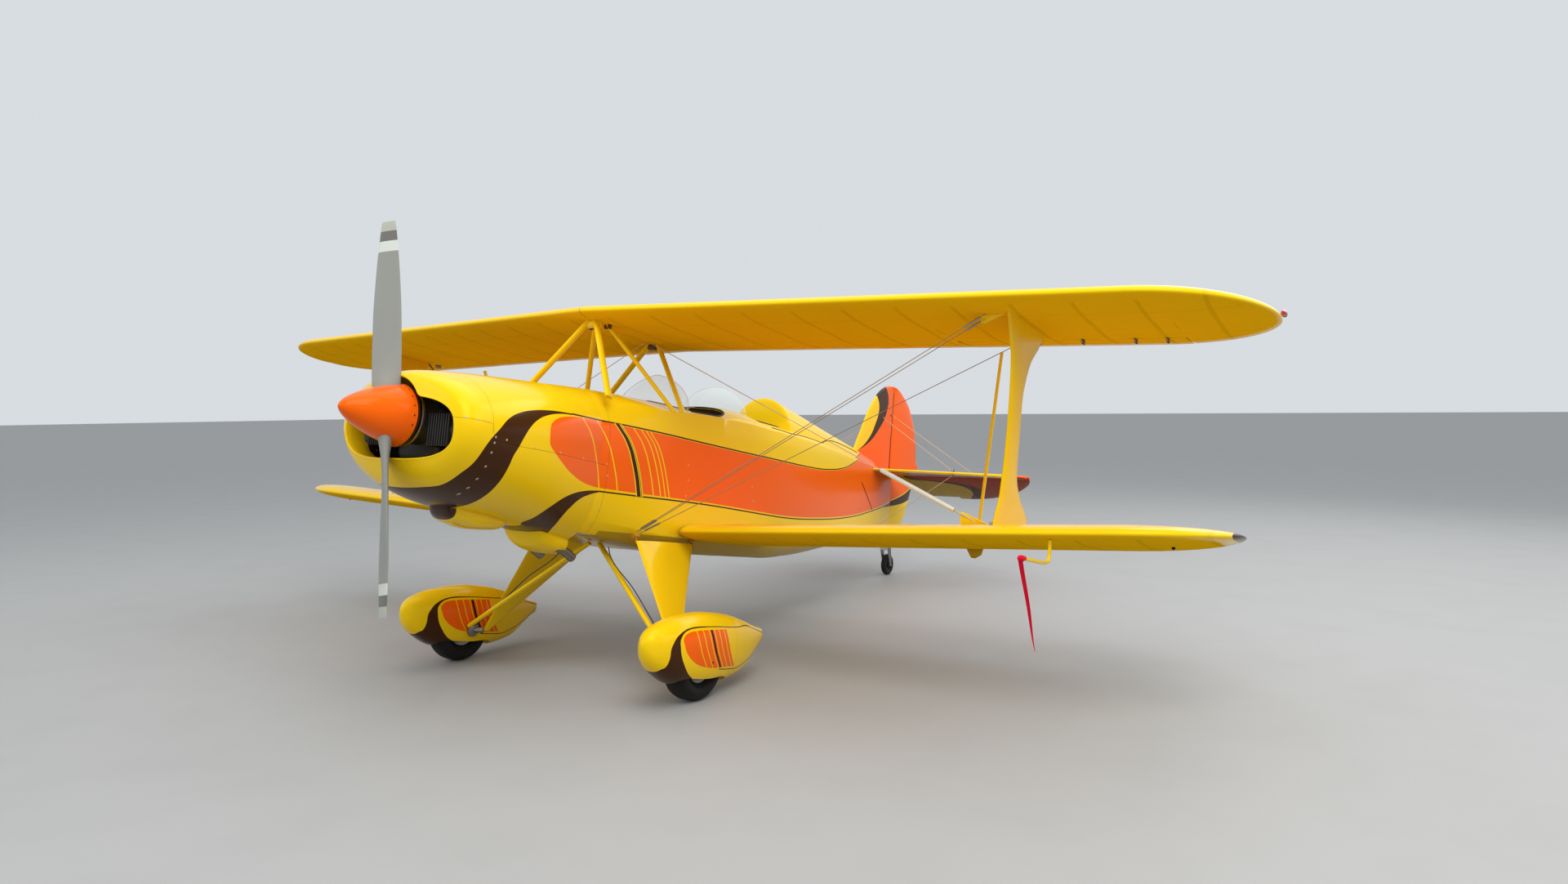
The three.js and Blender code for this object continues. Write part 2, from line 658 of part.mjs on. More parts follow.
function wheelPant(sign) {
  const y = WHEEL_Y;
  const rings = PANT.map(({ s, up, down, half }) => {
    const ring = [];
    for (let i = 0; i < 20; i++) {
      const angle = (i / 20) * Math.PI * 2;
      const c = Math.cos(angle);
      const d = Math.sin(angle);
      ring.push(at(s, half * Math.sign(c) * Math.abs(c) ** 0.8,
        (up + down) / 2 + ((up - down) / 2) * Math.sign(d) * Math.abs(d) ** 0.8));
    }
    return ring;
  });
  const room = new THREE.CylinderGeometry(MAIN_TYRE_RADIUS + 18, MAIN_TYRE_RADIUS + 18, MAIN_TYRE_WIDTH + 24, 32);
  const well = toSolid(room).add(toSolid(block(-MAIN_TYRE_RADIUS - 18, MAIN_TYRE_RADIUS + 18,
    -MAIN_TYRE_WIDTH / 2 - 12, MAIN_TYRE_WIDTH / 2 + 12, -400, 0)));
  const hole = toSolid(rod(new THREE.Vector3(0, 0, 0), new THREE.Vector3(0, -sign * 300, 0), AXLE_RADIUS + FIT_GAP));
  return toSolid(loft(rings)).subtract(well).subtract(hole).translate(AXLE.x, sign * y, AXLE.z);
}

// A tapered slab between the fuselage's lower corner and the axle, with the axle's stub
const LEG = { front: 1486, rear: 2060, hinge: [368, -494], foot: [748, 0], footFront: 56, footRear: 98, half: 13 };

function gearLeg(sign) {
  const axle = -AXLE.x;
  const ends = [
    { front: LEG.front, rear: LEG.rear, y: LEG.hinge[0], z: LEG.hinge[1] },
    { front: axle + LEG.footFront, rear: axle + LEG.footRear, y: LEG.foot[0], z: AXLE.z + LEG.foot[1] },
  ];
  const out = LEG.half * Math.SQRT1_2;
  const rings = ends.map(({ front, rear, y, z }) => [
    at(front, sign * (y + out), z + out), at(rear, sign * (y + out), z + out),
    at(rear, sign * (y - out), z - out), at(front, sign * (y - out), z - out)]);
  const stub = rod(new THREE.Vector3(AXLE.x, sign * (LEG.foot[0] - 12), AXLE.z),
    new THREE.Vector3(AXLE.x, sign * (WHEEL_Y + 50), AXLE.z), AXLE_RADIUS);
  const y0 = sign * LEG.foot[0];
  const lug = block(axle - 22, axle + LEG.footRear, y0 - 11, y0 + 11, AXLE.z - 24, AXLE.z + 24);
  return toSolid(loft(rings)).add(toSolid(lug)).add(toSolid(stub));
}

const BRACE = { top: [1575, 40, -552], foot: [-40, 772, 24], chord: 44, thick: 20 };

// Tail
const FIN = [
  { z: 262, front: 4960 }, { z: 330, front: 4840 }, { z: 390, front: 4812 }, { z: 450, front: 4840 },
  { z: 540, front: 4900 }, { z: 700, front: 4998 }, { z: 850, front: 5110 }, { z: 950, front: 5215 },
  { z: 1020, front: 5330 }, { z: 1050, front: 5420 },
];
const RUDDER_HINGE = 5555;
const RUDDER = [
  { z: -290, rear: 5740 }, { z: -230, rear: 5810 }, { z: -160, rear: 5880 }, { z: -20, rear: 5940 },
  { z: 130, rear: 5995 }, { z: 250, rear: 6090 }, { z: 390, rear: 6165 }, { z: 550, rear: 6130 },
  { z: 700, rear: 6060 }, { z: 830, rear: 5965 }, { z: 930, rear: 5860 }, { z: 1005, rear: 5740 },
  { z: 1045, rear: 5640 },
];

// Flat-sided section from a rounded nose to a thin tail
function bladeRing(front, rear, thick, place) {
  const nose = Math.min(thick, (rear - front) * 0.4);
  const outline = [[0, 0.12], [0.35, 0.42], [1.4, 0.5], [null, 0.06], [null, -0.06], [1.4, -0.5], [0.35, -0.42], [0, -0.12]];
  return outline.map(([n, h]) => place(n === null ? rear : front + n * nose, h * thick));
}

function fin() {
  const rings = FIN.map(({ z, front }) => bladeRing(front, 5520, 34, (s, y) => at(s, y, z)));
  return toSolid(loft(rings));
}

function rudder() {
  const rings = RUDDER.map(({ z, rear }) => bladeRing(RUDDER_HINGE - 14, rear, 28, (s, y) => at(s, y, z)));
  return loft(rings);
}

const TAILPLANE = { height: 235, hinge: 5500, root: 4950, tip: 1360, thick: 34 };
const ELEVATOR_INNER = 50;
const ELEVATOR_CUT = Math.tan(THREE.MathUtils.degToRad(29));
const STABILIZER = [
  { y: 30, front: 4925 }, { y: 400, front: 5035 }, { y: 800, front: 5155 }, { y: 1050, front: 5235 },
  { y: 1200, front: 5300 }, { y: 1290, front: 5370 }, { y: 1335, front: 5440 },
];
const ELEVATOR = [
  { y: 130, rear: 5640 }, { y: 250, rear: 5890 }, { y: 600, rear: 5905 }, { y: 900, rear: 5900 },
  { y: 1100, rear: 5870 }, { y: 1230, rear: 5790 }, { y: 1310, rear: 5680 }, { y: 1350, rear: 5570 },
];

function stabilizer(sign) {
  const { height, hinge, thick } = TAILPLANE;
  const rings = STABILIZER.map(({ y, front }) => bladeRing(front, hinge - 26, thick, (s, h) => at(s, sign * y, height + h)));
  return toSolid(loft(rings)).subtract(clearHull);
}

function elevator() {
  const { height, hinge } = TAILPLANE;
  const halves = [1, -1].map((sign) => {
    const inner = [{ y: ELEVATOR_INNER, rear: 5560 }, ...ELEVATOR];
    return toSolid(loft(inner.map(({ y, rear }) => bladeRing(hinge - 15, rear, 30, (s, h) => at(s, sign * y, height + h)))));
  });
  const tube = toSolid(rod(at(hinge, -ELEVATOR_INNER - 10, height), at(hinge, ELEVATOR_INNER + 10, height), 12, 16));
  const whole = halves[0].add(halves[1]).add(tube);
  return whole.translate(hinge, 0, -height).rotate([0, -THREE.MathUtils.radToDeg(ELEVATOR_DROOP), 0])
    .translate(-hinge, 0, height);
}

const torqueTubeSlot = toSolid(block(5465, 5600, -100, 100, 200, 270));

// Tail wheel
const STEER_AXIS = { s: 5575, top: -405 };

function tailSpring() {
  const path = [[5150, -318], [5300, -338], [5460, -370], [5600, -398]];
  const rings = path.map(([s, z], i) => {
    const half = 30 - i * 4;
    const deep = 11 - i;
    return [at(s, -half, z + deep), at(s, half, z + deep), at(s, half, z - deep), at(s, -half, z - deep)];
  });
  return toSolid(loft(rings)).subtract(clearHull);
}

function tailFork() {
  const y = 40;
  const crown = toSolid(block(STEER_AXIS.s - 35, STEER_AXIS.s + 30, -y, y, -460, -435));
  const post = toSolid(rod(at(STEER_AXIS.s, 0, -440), at(STEER_AXIS.s, 0, -412), 16));
  const cheek = (sign) => toSolid(loft([
    [at(STEER_AXIS.s - 30, sign * 32, -445), at(STEER_AXIS.s + 30, sign * 32, -445),
      at(STEER_AXIS.s + 30, sign * y, -445), at(STEER_AXIS.s - 30, sign * y, -445)],
    [new THREE.Vector3(TAIL_AXLE.x + 18, sign * 32, TAIL_AXLE.z - 15),
      new THREE.Vector3(TAIL_AXLE.x - 18, sign * 32, TAIL_AXLE.z - 15),
      new THREE.Vector3(TAIL_AXLE.x - 18, sign * y, TAIL_AXLE.z - 15),
      new THREE.Vector3(TAIL_AXLE.x + 18, sign * y, TAIL_AXLE.z - 15)]]));
  const pin = toSolid(rod(new THREE.Vector3(TAIL_AXLE.x, -36, TAIL_AXLE.z), new THREE.Vector3(TAIL_AXLE.x, 36, TAIL_AXLE.z), 8));
  return crown.add(post).add(cheek(1)).add(cheek(-1)).add(pin);
}

// Cockpit fittings
function windscreen({ front, middle, rear, half, deck, top }) {
  const rows = 4;
  const columns = 14;
  const grid = (inset) => {
    const lines = [];
    for (let r = 0; r <= rows; r++) {
      const t = r / rows;
      const line = [];
      for (let c = 0; c <= columns; c++) {
        const angle = (c / columns - 0.5) * Math.PI;
        const side = Math.abs(Math.sin(angle)) ** 1.5;
        const base = front + (rear - front) * (1 - Math.cos(angle));
        const crest = middle + (rear - middle) * (1 - Math.cos(angle));
        const y = (half - inset) * Math.sin(angle) * (1 - 0.28 * t);
        const foot = deck - 75 * side;
        const rim = top - 95 * side;
        line.push(at(base + (crest - base) * t + inset, y, foot + (rim - foot) * (1 - (1 - t) ** 1.3)));
      }
      lines.push(line);
    }
    return lines;
  };
  return toSolid(sheet(grid(0), grid(4))).subtract(clearHull);
}

function seat(s, floor) {
  const shape = new THREE.Shape();
  const outline = [[-70, 0], [0, 0], [0, 440], [-28, 440], [-80, 60], [-430, 90], [-430, 0]];
  const points = outline.map(([run, rise]) => new THREE.Vector2(run, rise));
  shape.setFromPoints(points);
  const geometry = new THREE.ExtrudeGeometry(shape, { depth: 400, bevelEnabled: false });
  geometry.rotateX(Math.PI / 2);
  geometry.translate(0, 200, 0);
  geometry.scale(-1, 1, 1);
  geometry.translate(-s, 0, floor);
  return geometry;
}

// Assembly
const group = new THREE.Group();
group.name = 'sport_biplane';
const parked = new THREE.Matrix4().makeRotationY(-ATTITUDE)
  .setPosition(HUB_AHEAD_OF_AXLE, 0, HUB_HEIGHT);

function add(name, body, colour, finish = {}) {
  const geometry = body.isBufferGeometry ? body : toPlain(body);
  geometry.deleteAttribute('normal');
  geometry.deleteAttribute('uv');
  const merged = facing(mergeVertices(geometry, 1e-3));
  merged.applyMatrix4(parked);
  merged.computeVertexNormals();
  const material = new THREE.MeshStandardMaterial({ color: colour, roughness: 0.4, metalness: 0, ...finish });
  const mesh = new THREE.Mesh(merged, material);
  mesh.name = name;
  group.add(mesh);
}

const deckDome = turtledeck();
const finSolid = fin().subtract(withGap(hullSolid.add(deckDome))).subtract(torqueTubeSlot);
const [cowlUpper, cowlLower] = cowlHalves();
add('fuselage', fuselage(torqueTubeSlot), COLOURS.yellow);
add('turtledeck', deckDome.subtract(clearHull), COLOURS.yellow);
add('cowl_upper', cowlUpper, COLOURS.yellow);
add('cowl_lower', cowlLower, COLOURS.yellow);
add('engine', block(200, 900, -355, 355, -225, 105), COLOURS.dark);
const clearCowl = withGap(toSolid(loft(COWL.map((row) => cowlRing(row)))));
const outletSolid = toSolid(fairing(OUTLET)).subtract(clearCowl)
  .subtract(clearHull);
add('chin_scoop', toSolid(fairing(SCOOP)).subtract(clearCowl)
  .subtract(withGap(outletSolid)), COLOURS.yellow);
add('cooling_outlet', outletSolid, COLOURS.yellow);
add('spinner', spinner(), COLOURS.orange);
add('propeller', propeller(), COLOURS.steel);
const upperWings = [1, -1].map((sign) => wingBody(UPPER_WING, sign));
const lowerWings = [1, -1].map((sign) => wingBody(LOWER_WING, sign));
const upperBlank = withGap(wingBody({ ...UPPER_WING, root: -5 }, 1).add(wingBody({ ...UPPER_WING, root: -5 }, -1)));
for (const [k, side] of ['port', 'starboard'].entries()) {
  const sign = k === 0 ? 1 : -1;
  const above = withGap(upperWings[k]);
  const below = withGap(lowerWings[k]);
  add(`upper_wing_${side}`, upperWings[k].subtract(aileronBay(UPPER_WING, sign)), COLOURS.yellow);
  add(`lower_wing_${side}`, lowerWings[k].subtract(aileronBay(LOWER_WING, sign))
    .subtract(clearHull).add(tieDownLug(sign)), COLOURS.yellow);
  add(`upper_aileron_${side}`, toSolid(aileron(UPPER_WING, sign))
    .add(aileronHorn(UPPER_WING, SLAVE_ROD.highY, sign, -1)), COLOURS.yellow);
  add(`lower_aileron_${side}`, toSolid(aileron(LOWER_WING, sign))
    .add(aileronHorn(LOWER_WING, SLAVE_ROD.lowY, sign, 1)), COLOURS.yellow);
  add(`interplane_strut_${side}`, interplaneStrut(sign, above, below), COLOURS.yellow);
  for (const { name, foot, head, chord } of CABANE) {
    const leg = fairedRod(at(foot[0], sign * foot[1], foot[2]), at(head[0], sign * head[1], head[2]), chord, 20);
    add(`${name}_${side}`, toSolid(leg).subtract(upperBlank)
      .subtract(clearHull), COLOURS.yellow);
  }
  for (const wire of WIRES) add(`${wire.name}_${side}`, stayWire(wire, sign), COLOURS.steel, { metalness: 0.7 });
  const rodLow = slaveRodEye(LOWER_WING, SLAVE_ROD.lowY, sign, 1);
  const rodHigh = slaveRodEye(UPPER_WING, SLAVE_ROD.highY, sign, -1);
  add(`slave_rod_${side}`, fairedRod(rodLow, rodHigh, SLAVE_ROD.chord, SLAVE_ROD.thick), COLOURS.orange);
  const pant = wheelPant(sign);
  const leg = gearLeg(sign).subtract(clearHull).subtract(below);
  add(`gear_leg_${side}`, leg, COLOURS.yellow);
  add(`wheel_pant_${side}`, pant, COLOURS.yellow);
  const brace = fairedRod(at(BRACE.top[0], sign * BRACE.top[1], BRACE.top[2]),
    at(-AXLE.x + BRACE.foot[0], sign * BRACE.foot[1], AXLE.z + BRACE.foot[2]), BRACE.chord, BRACE.thick);
  add(`brace_strut_${side}`, toSolid(brace).subtract(clearHull).subtract(withGap(pant)).subtract(withGap(leg)), COLOURS.yellow);
  add(`exhaust_${side}`, rod(at(EXHAUST.from, sign * EXHAUST.y, EXHAUST.height),
    at(EXHAUST.to, sign * EXHAUST.y, EXHAUST.height - 30), EXHAUST.radius, 16), COLOURS.steel);
  const wheel = tyreAndHub(MAIN_TYRE_RADIUS, MAIN_TYRE_WIDTH, 105, AXLE_RADIUS + FIT_GAP);
  wheel.translate(AXLE.x, sign * WHEEL_Y, AXLE.z);
  add(`main_wheel_${side}`, wheel, COLOURS.rubber);
  add(`stabilizer_${side}`, stabilizer(sign), COLOURS.orange);
}
add('pitot_mast', pitotMast(), COLOURS.yellow);
add('fin', finSolid, COLOURS.yellow);
add('rudder', rudder(), COLOURS.orange);
add('elevator', elevator(), COLOURS.orange);
add('tail_spring', tailSpring(), COLOURS.steel, { metalness: 0.6 });
add('tail_fork', tailFork(), COLOURS.steel, { metalness: 0.6 });
const tailWheel = tyreAndHub(TAIL_TYRE_RADIUS, 50, 50, 8 + FIT_GAP);
tailWheel.translate(TAIL_AXLE.x, 0, TAIL_AXLE.z);
add('tail_wheel', tailWheel, COLOURS.rubber);
add('windscreen_front', windscreen({ front: 1762, middle: 2030, rear: 1990, half: 285, deck: 362, top: 549 }), COLOURS.glass);
add('windscreen_rear', windscreen({ front: 2425, middle: 2660, rear: 2660, half: 280, deck: 392, top: 577 }), COLOURS.glass);
add('seat_front', seat(2420, CABIN.floor + FIT_GAP), COLOURS.seat);
add('seat_rear', seat(3200, CABIN.floor + FIT_GAP), COLOURS.seat);

// The origin is the middle of the footprint of the whole aircraft
const box = new THREE.Box3().setFromObject(group);
const middle = -(box.min.x + box.max.x) / 2;
for (const mesh of group.children) mesh.geometry.translate(middle, 0, 0);

export default group;
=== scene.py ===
"""Looks of a tandem two-seat sport biplane, built around the frame of its CAD solids.

Everything is described in millimetres in the aircraft's own level frame: s aft of the propeller plane,
y to port, z up from the thrust line. Objects have local coordinates (-s, y, z) in metres.
"""
import math

import bmesh
import bpy
import numpy as np
from mathutils import Matrix, Vector


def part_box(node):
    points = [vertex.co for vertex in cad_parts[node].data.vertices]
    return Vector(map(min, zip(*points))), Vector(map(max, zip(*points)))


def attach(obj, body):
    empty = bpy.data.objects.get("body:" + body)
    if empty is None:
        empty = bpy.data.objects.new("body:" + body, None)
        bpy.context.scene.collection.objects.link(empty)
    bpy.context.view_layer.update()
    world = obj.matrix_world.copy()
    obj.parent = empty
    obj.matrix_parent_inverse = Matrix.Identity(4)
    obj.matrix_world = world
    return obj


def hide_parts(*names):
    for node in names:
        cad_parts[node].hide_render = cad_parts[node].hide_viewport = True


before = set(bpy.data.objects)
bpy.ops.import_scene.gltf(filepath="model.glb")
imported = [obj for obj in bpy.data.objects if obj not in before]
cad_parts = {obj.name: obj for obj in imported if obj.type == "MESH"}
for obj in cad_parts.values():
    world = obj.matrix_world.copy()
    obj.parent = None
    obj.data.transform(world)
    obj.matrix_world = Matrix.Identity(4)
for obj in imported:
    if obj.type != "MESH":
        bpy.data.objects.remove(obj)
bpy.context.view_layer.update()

MM = 0.001
SIDES = (("port", 1), ("starboard", -1))
TILT = math.radians(8.974)
HUB_X = 1.2116
HUB_Z = 1.5537
SPINNER_TIP = 0.261
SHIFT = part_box("spinner")[1].x - (HUB_X + SPINNER_TIP * math.cos(TILT))
LEVEL = Matrix.Translation((HUB_X + SHIFT, 0, HUB_Z)) @ Matrix.Rotation(-TILT, 4, "Y")


# Camera
LENS = 24.165
CAMERA_AT = (4.5244 + SHIFT, 4.271, 1.5712)
PITCH, YAW, ROLL = (math.radians(v) for v in (-1.964, 31.5, -0.5225))


def make_camera():
    forward = Vector((-math.cos(YAW) * math.cos(PITCH), -math.sin(YAW) * math.cos(PITCH), math.sin(PITCH)))
    right = forward.cross(Vector((0, 0, 1))).normalized()
    up = right.cross(forward)
    across = right * math.cos(ROLL) + up * math.sin(ROLL)
    upright = up * math.cos(ROLL) - right * math.sin(ROLL)
    data = bpy.data.cameras.new("camera")
    data.lens = LENS
    data.sensor_width = 36
    data.sensor_fit = "HORIZONTAL"
    data.clip_end = 400
    camera = bpy.data.objects.new("camera", data)
    bpy.context.scene.collection.objects.link(camera)
    rows = [(across[i], upright[i], -forward[i], CAMERA_AT[i]) for i in range(3)]
    camera.matrix_world = Matrix((*rows, (0, 0, 0, 1)))
    bpy.context.scene.camera = camera


make_camera()


# Materials
class Val:
    """A value in a node tree that takes part in ordinary arithmetic."""

    def __init__(self, tree, socket):
        self.tree = tree
        self.socket = socket

    def math(self, kind, *others):
        node = self.tree.nodes.new("ShaderNodeMath")
        node.operation = kind
        for i, item in enumerate((self, *others)):
            if isinstance(item, Val):
                self.tree.links.new(item.socket, node.inputs[i])
            else:
                node.inputs[i].default_value = item
        return Val(self.tree, node.outputs[0])

    def __add__(self, other):
        return self.math("ADD", other)

    def __sub__(self, other):
        return self.math("SUBTRACT", other)

    def __mul__(self, other):
        return self.math("MULTIPLY", other)

    def __truediv__(self, other):
        return self.math("DIVIDE", other)

    def max(self, other):
        return self.math("MAXIMUM", other)

    def min(self, other):
        return self.math("MINIMUM", other)

    def abs(self):
        return self.math("ABSOLUTE")

    def mod(self, length):
        return self.math("FLOORED_MODULO", length)

    def inverse(self):
        return (self * -1) + 1

    def above(self, edge, soft=1.2):
        """1 where the value is over edge, with a soft change as wide as soft."""
        node = self.tree.nodes.new("ShaderNodeMapRange")
        node.interpolation_type = "SMOOTHSTEP"
        difference = self - edge
        self.tree.links.new(difference.socket, node.inputs["Value"])
        node.inputs["From Min"].default_value = -soft
        node.inputs["From Max"].default_value = soft
        return Val(self.tree, node.outputs["Result"])

    def below(self, edge, soft=1.2):
        return self.above(edge, soft).inverse()

    def between(self, low, high, soft=1.2):
        return self.above(low, soft) * self.below(high, soft)

    def curve(self, points):
        """The smooth curve through (input, output) points, level beyond its ends."""
        xs = [p[0] for p in points]
        ys = [p[1] for p in points]
        x0, x1, y0, y1 = min(xs), max(xs), min(ys), max(ys)
        node = self.tree.nodes.new("ShaderNodeFloatCurve")
        line = node.mapping.curves[0]
        spots = sorted(((x - x0) / (x1 - x0), (y - y0) / (y1 - y0)) for x, y in points)
        line.points[0].location = spots[0]
        line.points[1].location = spots[-1]
        for spot in spots[1:-1]:
            line.points.new(*spot)
        node.mapping.update()
        scaled = ((self - x0) / (x1 - x0)).max(0.0).min(1.0)
        self.tree.links.new(scaled.socket, node.inputs["Value"])
        return Val(self.tree, node.outputs["Value"]) * (y1 - y0) + y0


class Finish:
    """A material with its coordinates in millimetres, built up in layers of colour and relief."""

    def __init__(self, name, colour, roughness=0.3, metallic=0.0, coat=0.0):
        self.material = bpy.data.materials.new(name)
        self.material.use_nodes = True
        self.tree = self.material.node_tree
        self.tree.nodes.clear()
        self.shader = self.node("BsdfPrincipled")
        self.link(self.shader.outputs["BSDF"], self.node("OutputMaterial").inputs["Surface"])
        for key, value in (("Metallic", metallic), ("Coat Weight", coat), ("Coat Roughness", 0.06),
                           ("Specular IOR Level", 0.4)):
            self.shader.inputs[key].default_value = value
        self.place = self.node("TexCoord").outputs["Object"]
        split = self.node("SeparateXYZ")
        self.link(self.place, split.inputs[0])
        self.s = Val(self.tree, split.outputs[0]) * -1000
        self.y = Val(self.tree, split.outputs[1]) * 1000
        self.z = Val(self.tree, split.outputs[2]) * 1000
        self.colour = self.node("RGB").outputs[0]
        self.colour.default_value = (*colour, 1)
        self.relief = None
        self.base_roughness = roughness

    def node(self, kind):
        return self.tree.nodes.new("ShaderNode" + kind)

    def link(self, source, target):
        self.tree.links.new(source, target)

    def paint(self, mask, colour, blend="MIX"):
        """Lays a colour over the ones so far where mask is 1."""
        node = self.node("Mix")
        node.data_type = "RGBA"
        node.blend_type = blend
        self.link(mask.socket, node.inputs["Factor"])
        self.link(self.colour, node.inputs["A"])
        node.inputs["B"].default_value = (*colour, 1)
        self.colour = node.outputs["Result"]

    def shade(self, mask, amount):
        """Darkens the colour where mask is 1."""
        self.paint(mask * amount, (0.12, 0.1, 0.08), "MULTIPLY")

    def noise(self, scale, detail):
        node = self.node("TexNoise")
        node.inputs["Scale"].default_value = scale
        node.inputs["Detail"].default_value = detail
        self.link(self.place, node.inputs["Vector"])
        return Val(self.tree, node.outputs["Fac"])

    def raise_by(self, height):
        """Adds relief, in millimetres."""
        self.relief = height if self.relief is None else self.relief + height

    def spot(self, s, z, radius, soft=1.2):
        """A round mark seen from the side."""
        away = ((self.s - s) * (self.s - s) + (self.z - z) * (self.z - z)).math("SQRT")
        return away.below(radius, soft)

    def done(self, mottle, grain, spread):
        """Adds the wear: mottle darkens, grain is fine relief in mm, spread varies the roughness."""
        cloud = self.noise(2.3, 4)
        fine = self.noise(46, 3)
        self.shade((cloud - 0.45).max(0.0) * 2, mottle)
        rough = (fine - 0.5) * spread + (cloud - 0.5) * spread + self.base_roughness
        self.link(rough.max(0.03).min(1.0).socket, self.shader.inputs["Roughness"])
        self.link(self.colour, self.shader.inputs["Base Color"])
        self.link(self.colour, self.shader.inputs["Specular Tint"])
        self.raise_by((fine - 0.5) * grain)
        bump = self.node("Bump")
        bump.inputs["Strength"].default_value = 1.0
        bump.inputs["Distance"].default_value = MM
        self.link(self.relief.socket, bump.inputs["Height"])
        self.link(bump.outputs[0], self.shader.inputs["Normal"])
        return self.material


YELLOW = (0.87, 0.56, 0.006)
ORANGE = (0.90, 0.122, 0.002)
BROWN = (0.050, 0.018, 0.006)
# Darker copies of the orange and the yellow: painted shade for the tail's undersides
SHADED_ORANGE = (0.24, 0.030, 0.005)
SHADED_YELLOW = (0.34, 0.235, 0.008)
CREAM = (0.86, 0.80, 0.60)
BLACK = (0.012, 0.011, 0.010)


# Shapes
def table(keys, *rows):
    """Rows of numbers as dictionaries with the given keys."""
    return [dict(zip(keys.split(), row)) for row in rows]


def eased(rows, key, count):
    """Rows of numbers in between the given ones, along smooth curves that don't overshoot."""
    rows = sorted(rows, key=lambda row: row[key])
    x = np.array([row[key] for row in rows], float)
    at = np.unique(np.concatenate([np.linspace(x[0], x[-1], count), x]))
    result = [{key: value} for value in at]
    for name in rows[0]:
        if name == key:
            continue
        for row, value in zip(result, monotone(x, [r[name] for r in rows], at)):
            row[name] = value
    return result


def monotone(x, y, at):
    """A Fritsch-Carlson cubic through the points."""
    x = np.asarray(x, float)
    y = np.asarray(y, float)
    h = np.diff(x)
    slope = np.diff(y) / h
    tangent = np.zeros(len(x))
    tangent[0] = slope[0]
    tangent[-1] = slope[-1]
    for i in range(1, len(x) - 1):
        if slope[i - 1] * slope[i] > 0:
            a = 2 * h[i] + h[i - 1]
            b = h[i] + 2 * h[i - 1]
            tangent[i] = (a + b) / (a / slope[i - 1] + b / slope[i])
    k = np.clip(np.searchsorted(x, at, side="right") - 1, 0, len(x) - 2)
    t = (np.asarray(at) - x[k]) / h[k]
    return ((1 + 2 * t) * (1 - t) ** 2 * y[k] + t * (1 - t) ** 2 * h[k] * tangent[k]
            + t * t * (3 - 2 * t) * y[k + 1] + t * t * (t - 1) * h[k] * tangent[k + 1])


def between(table_rows, key, value, at):
    """The value at one place of a table, along the smooth curve of its rows."""
    return float(monotone([row[key] for row in table_rows], [row[value] for row in table_rows], [at])[0])


def smoothstep(value, low, high):
    t = min(1, max(0, (value - low) / (high - low)))
    return t * t * (3 - 2 * t)


def signed_power(value, power):
    return math.copysign(abs(value) ** power, value)


def around(count):
    """Cosine and sine of evenly spaced angles."""
    return [(math.cos(2 * math.pi * k / count), math.sin(2 * math.pi * k / count)) for k in range(count)]


def oval(a, b, power_a, power_b, count):
    """Points of an oval of half sizes a and b. Powers below 1 square its ends."""
    return [(a * signed_power(c, power_a), b * signed_power(d, power_b)) for c, d in around(count)]


def oval_rings(rows, power, count):
    """Upright ovals from rows of s, half width, top and low line."""
    rings = []
    for row in rows:
        middle, half = (row["top"] + row["low"]) / 2, (row["top"] - row["low"]) / 2
        rings.append([(row["s"], y, middle + z) for y, z in oval(row["width"], half, power, power, count)])
    return rings


def mirrored(points, sign):
    return [(s, sign * y, z) for s, y, z in points]


def smooth_but_for_edges(build, sharp):
    for face in build.faces:
        face.smooth = True
    for edge in build.edges:
        edge.smooth = len(edge.link_faces) != 2 or edge.calc_face_angle(0) <= math.radians(sharp)


def mesh_object(name, points, faces, material, sharp=40):
    """points are (s, y, z) in millimetres."""
    mesh = bpy.data.meshes.new(name)
    mesh.from_pydata([(-s * MM, y * MM, z * MM) for s, y, z in points], [], faces)
    build = bmesh.new()
    build.from_mesh(mesh)
    bmesh.ops.remove_doubles(build, verts=build.verts, dist=1e-6)
    bmesh.ops.recalc_face_normals(build, faces=build.faces)
    smooth_but_for_edges(build, sharp)
    build.to_mesh(mesh)
    build.free()
    mesh.materials.append(material)
    piece = bpy.data.objects.new(name, mesh)
    bpy.context.scene.collection.objects.link(piece)
    return piece


def skin(rings, closed=True, caps=(True, True)):
    """Points and faces of a surface over rings of equally many points."""
    count = len(rings[0])
    points = [p for ring in rings for p in ring]
    faces = []
    for r in range(len(rings) - 1):
        for i in range(count if closed else count - 1):
            j = (i + 1) % count
            faces.append((r * count + i, r * count + j, (r + 1) * count + j, (r + 1) * count + i))
    if caps[0]:
        faces.append(tuple(range(count)))
    if caps[1]:
        faces.append(tuple((len(rings) - 1) * count + i for i in range(count)))
    return points, faces


def put(piece, *nodes, body="airframe", slot="yellow_paint", matrix=LEVEL):
    """Places a piece, lets it ride on a body and stand for the given CAD nodes."""
    piece.matrix_world = matrix
    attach(piece, body)
    if nodes:
        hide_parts(*nodes)


def add(name, shape, material, *nodes, sharp=40, **where):
    put(mesh_object(name, *shape, material, sharp), *nodes, **where)


def merged(parts):
    points, faces = [], []
    for more_points, more_faces in parts:
        base = len(points)
        points += more_points
        faces += [tuple(i + base for i in face) for face in more_faces]
    return points, faces


def tube(path, radius, sides=12, caps=True):
    """A round tube along points. radius is a number or one for each point."""
    path = [Vector(p) for p in path]
    radii = radius if isinstance(radius, (list, tuple)) else [radius] * len(path)
    rings = []
    normal = None
    for i, point in enumerate(path):
        along = (path[min(i + 1, len(path) - 1)] - path[max(i - 1, 0)]).normalized()
        if normal is None:
            normal = along.orthogonal().normalized()
        normal = (normal - along * normal.dot(along)).normalized()
        other = along.cross(normal)
        rings.append([tuple(point + (normal * c + other * d) * radii[i]) for c, d in around(sides)])
    return skin(rings, True, (caps, caps))


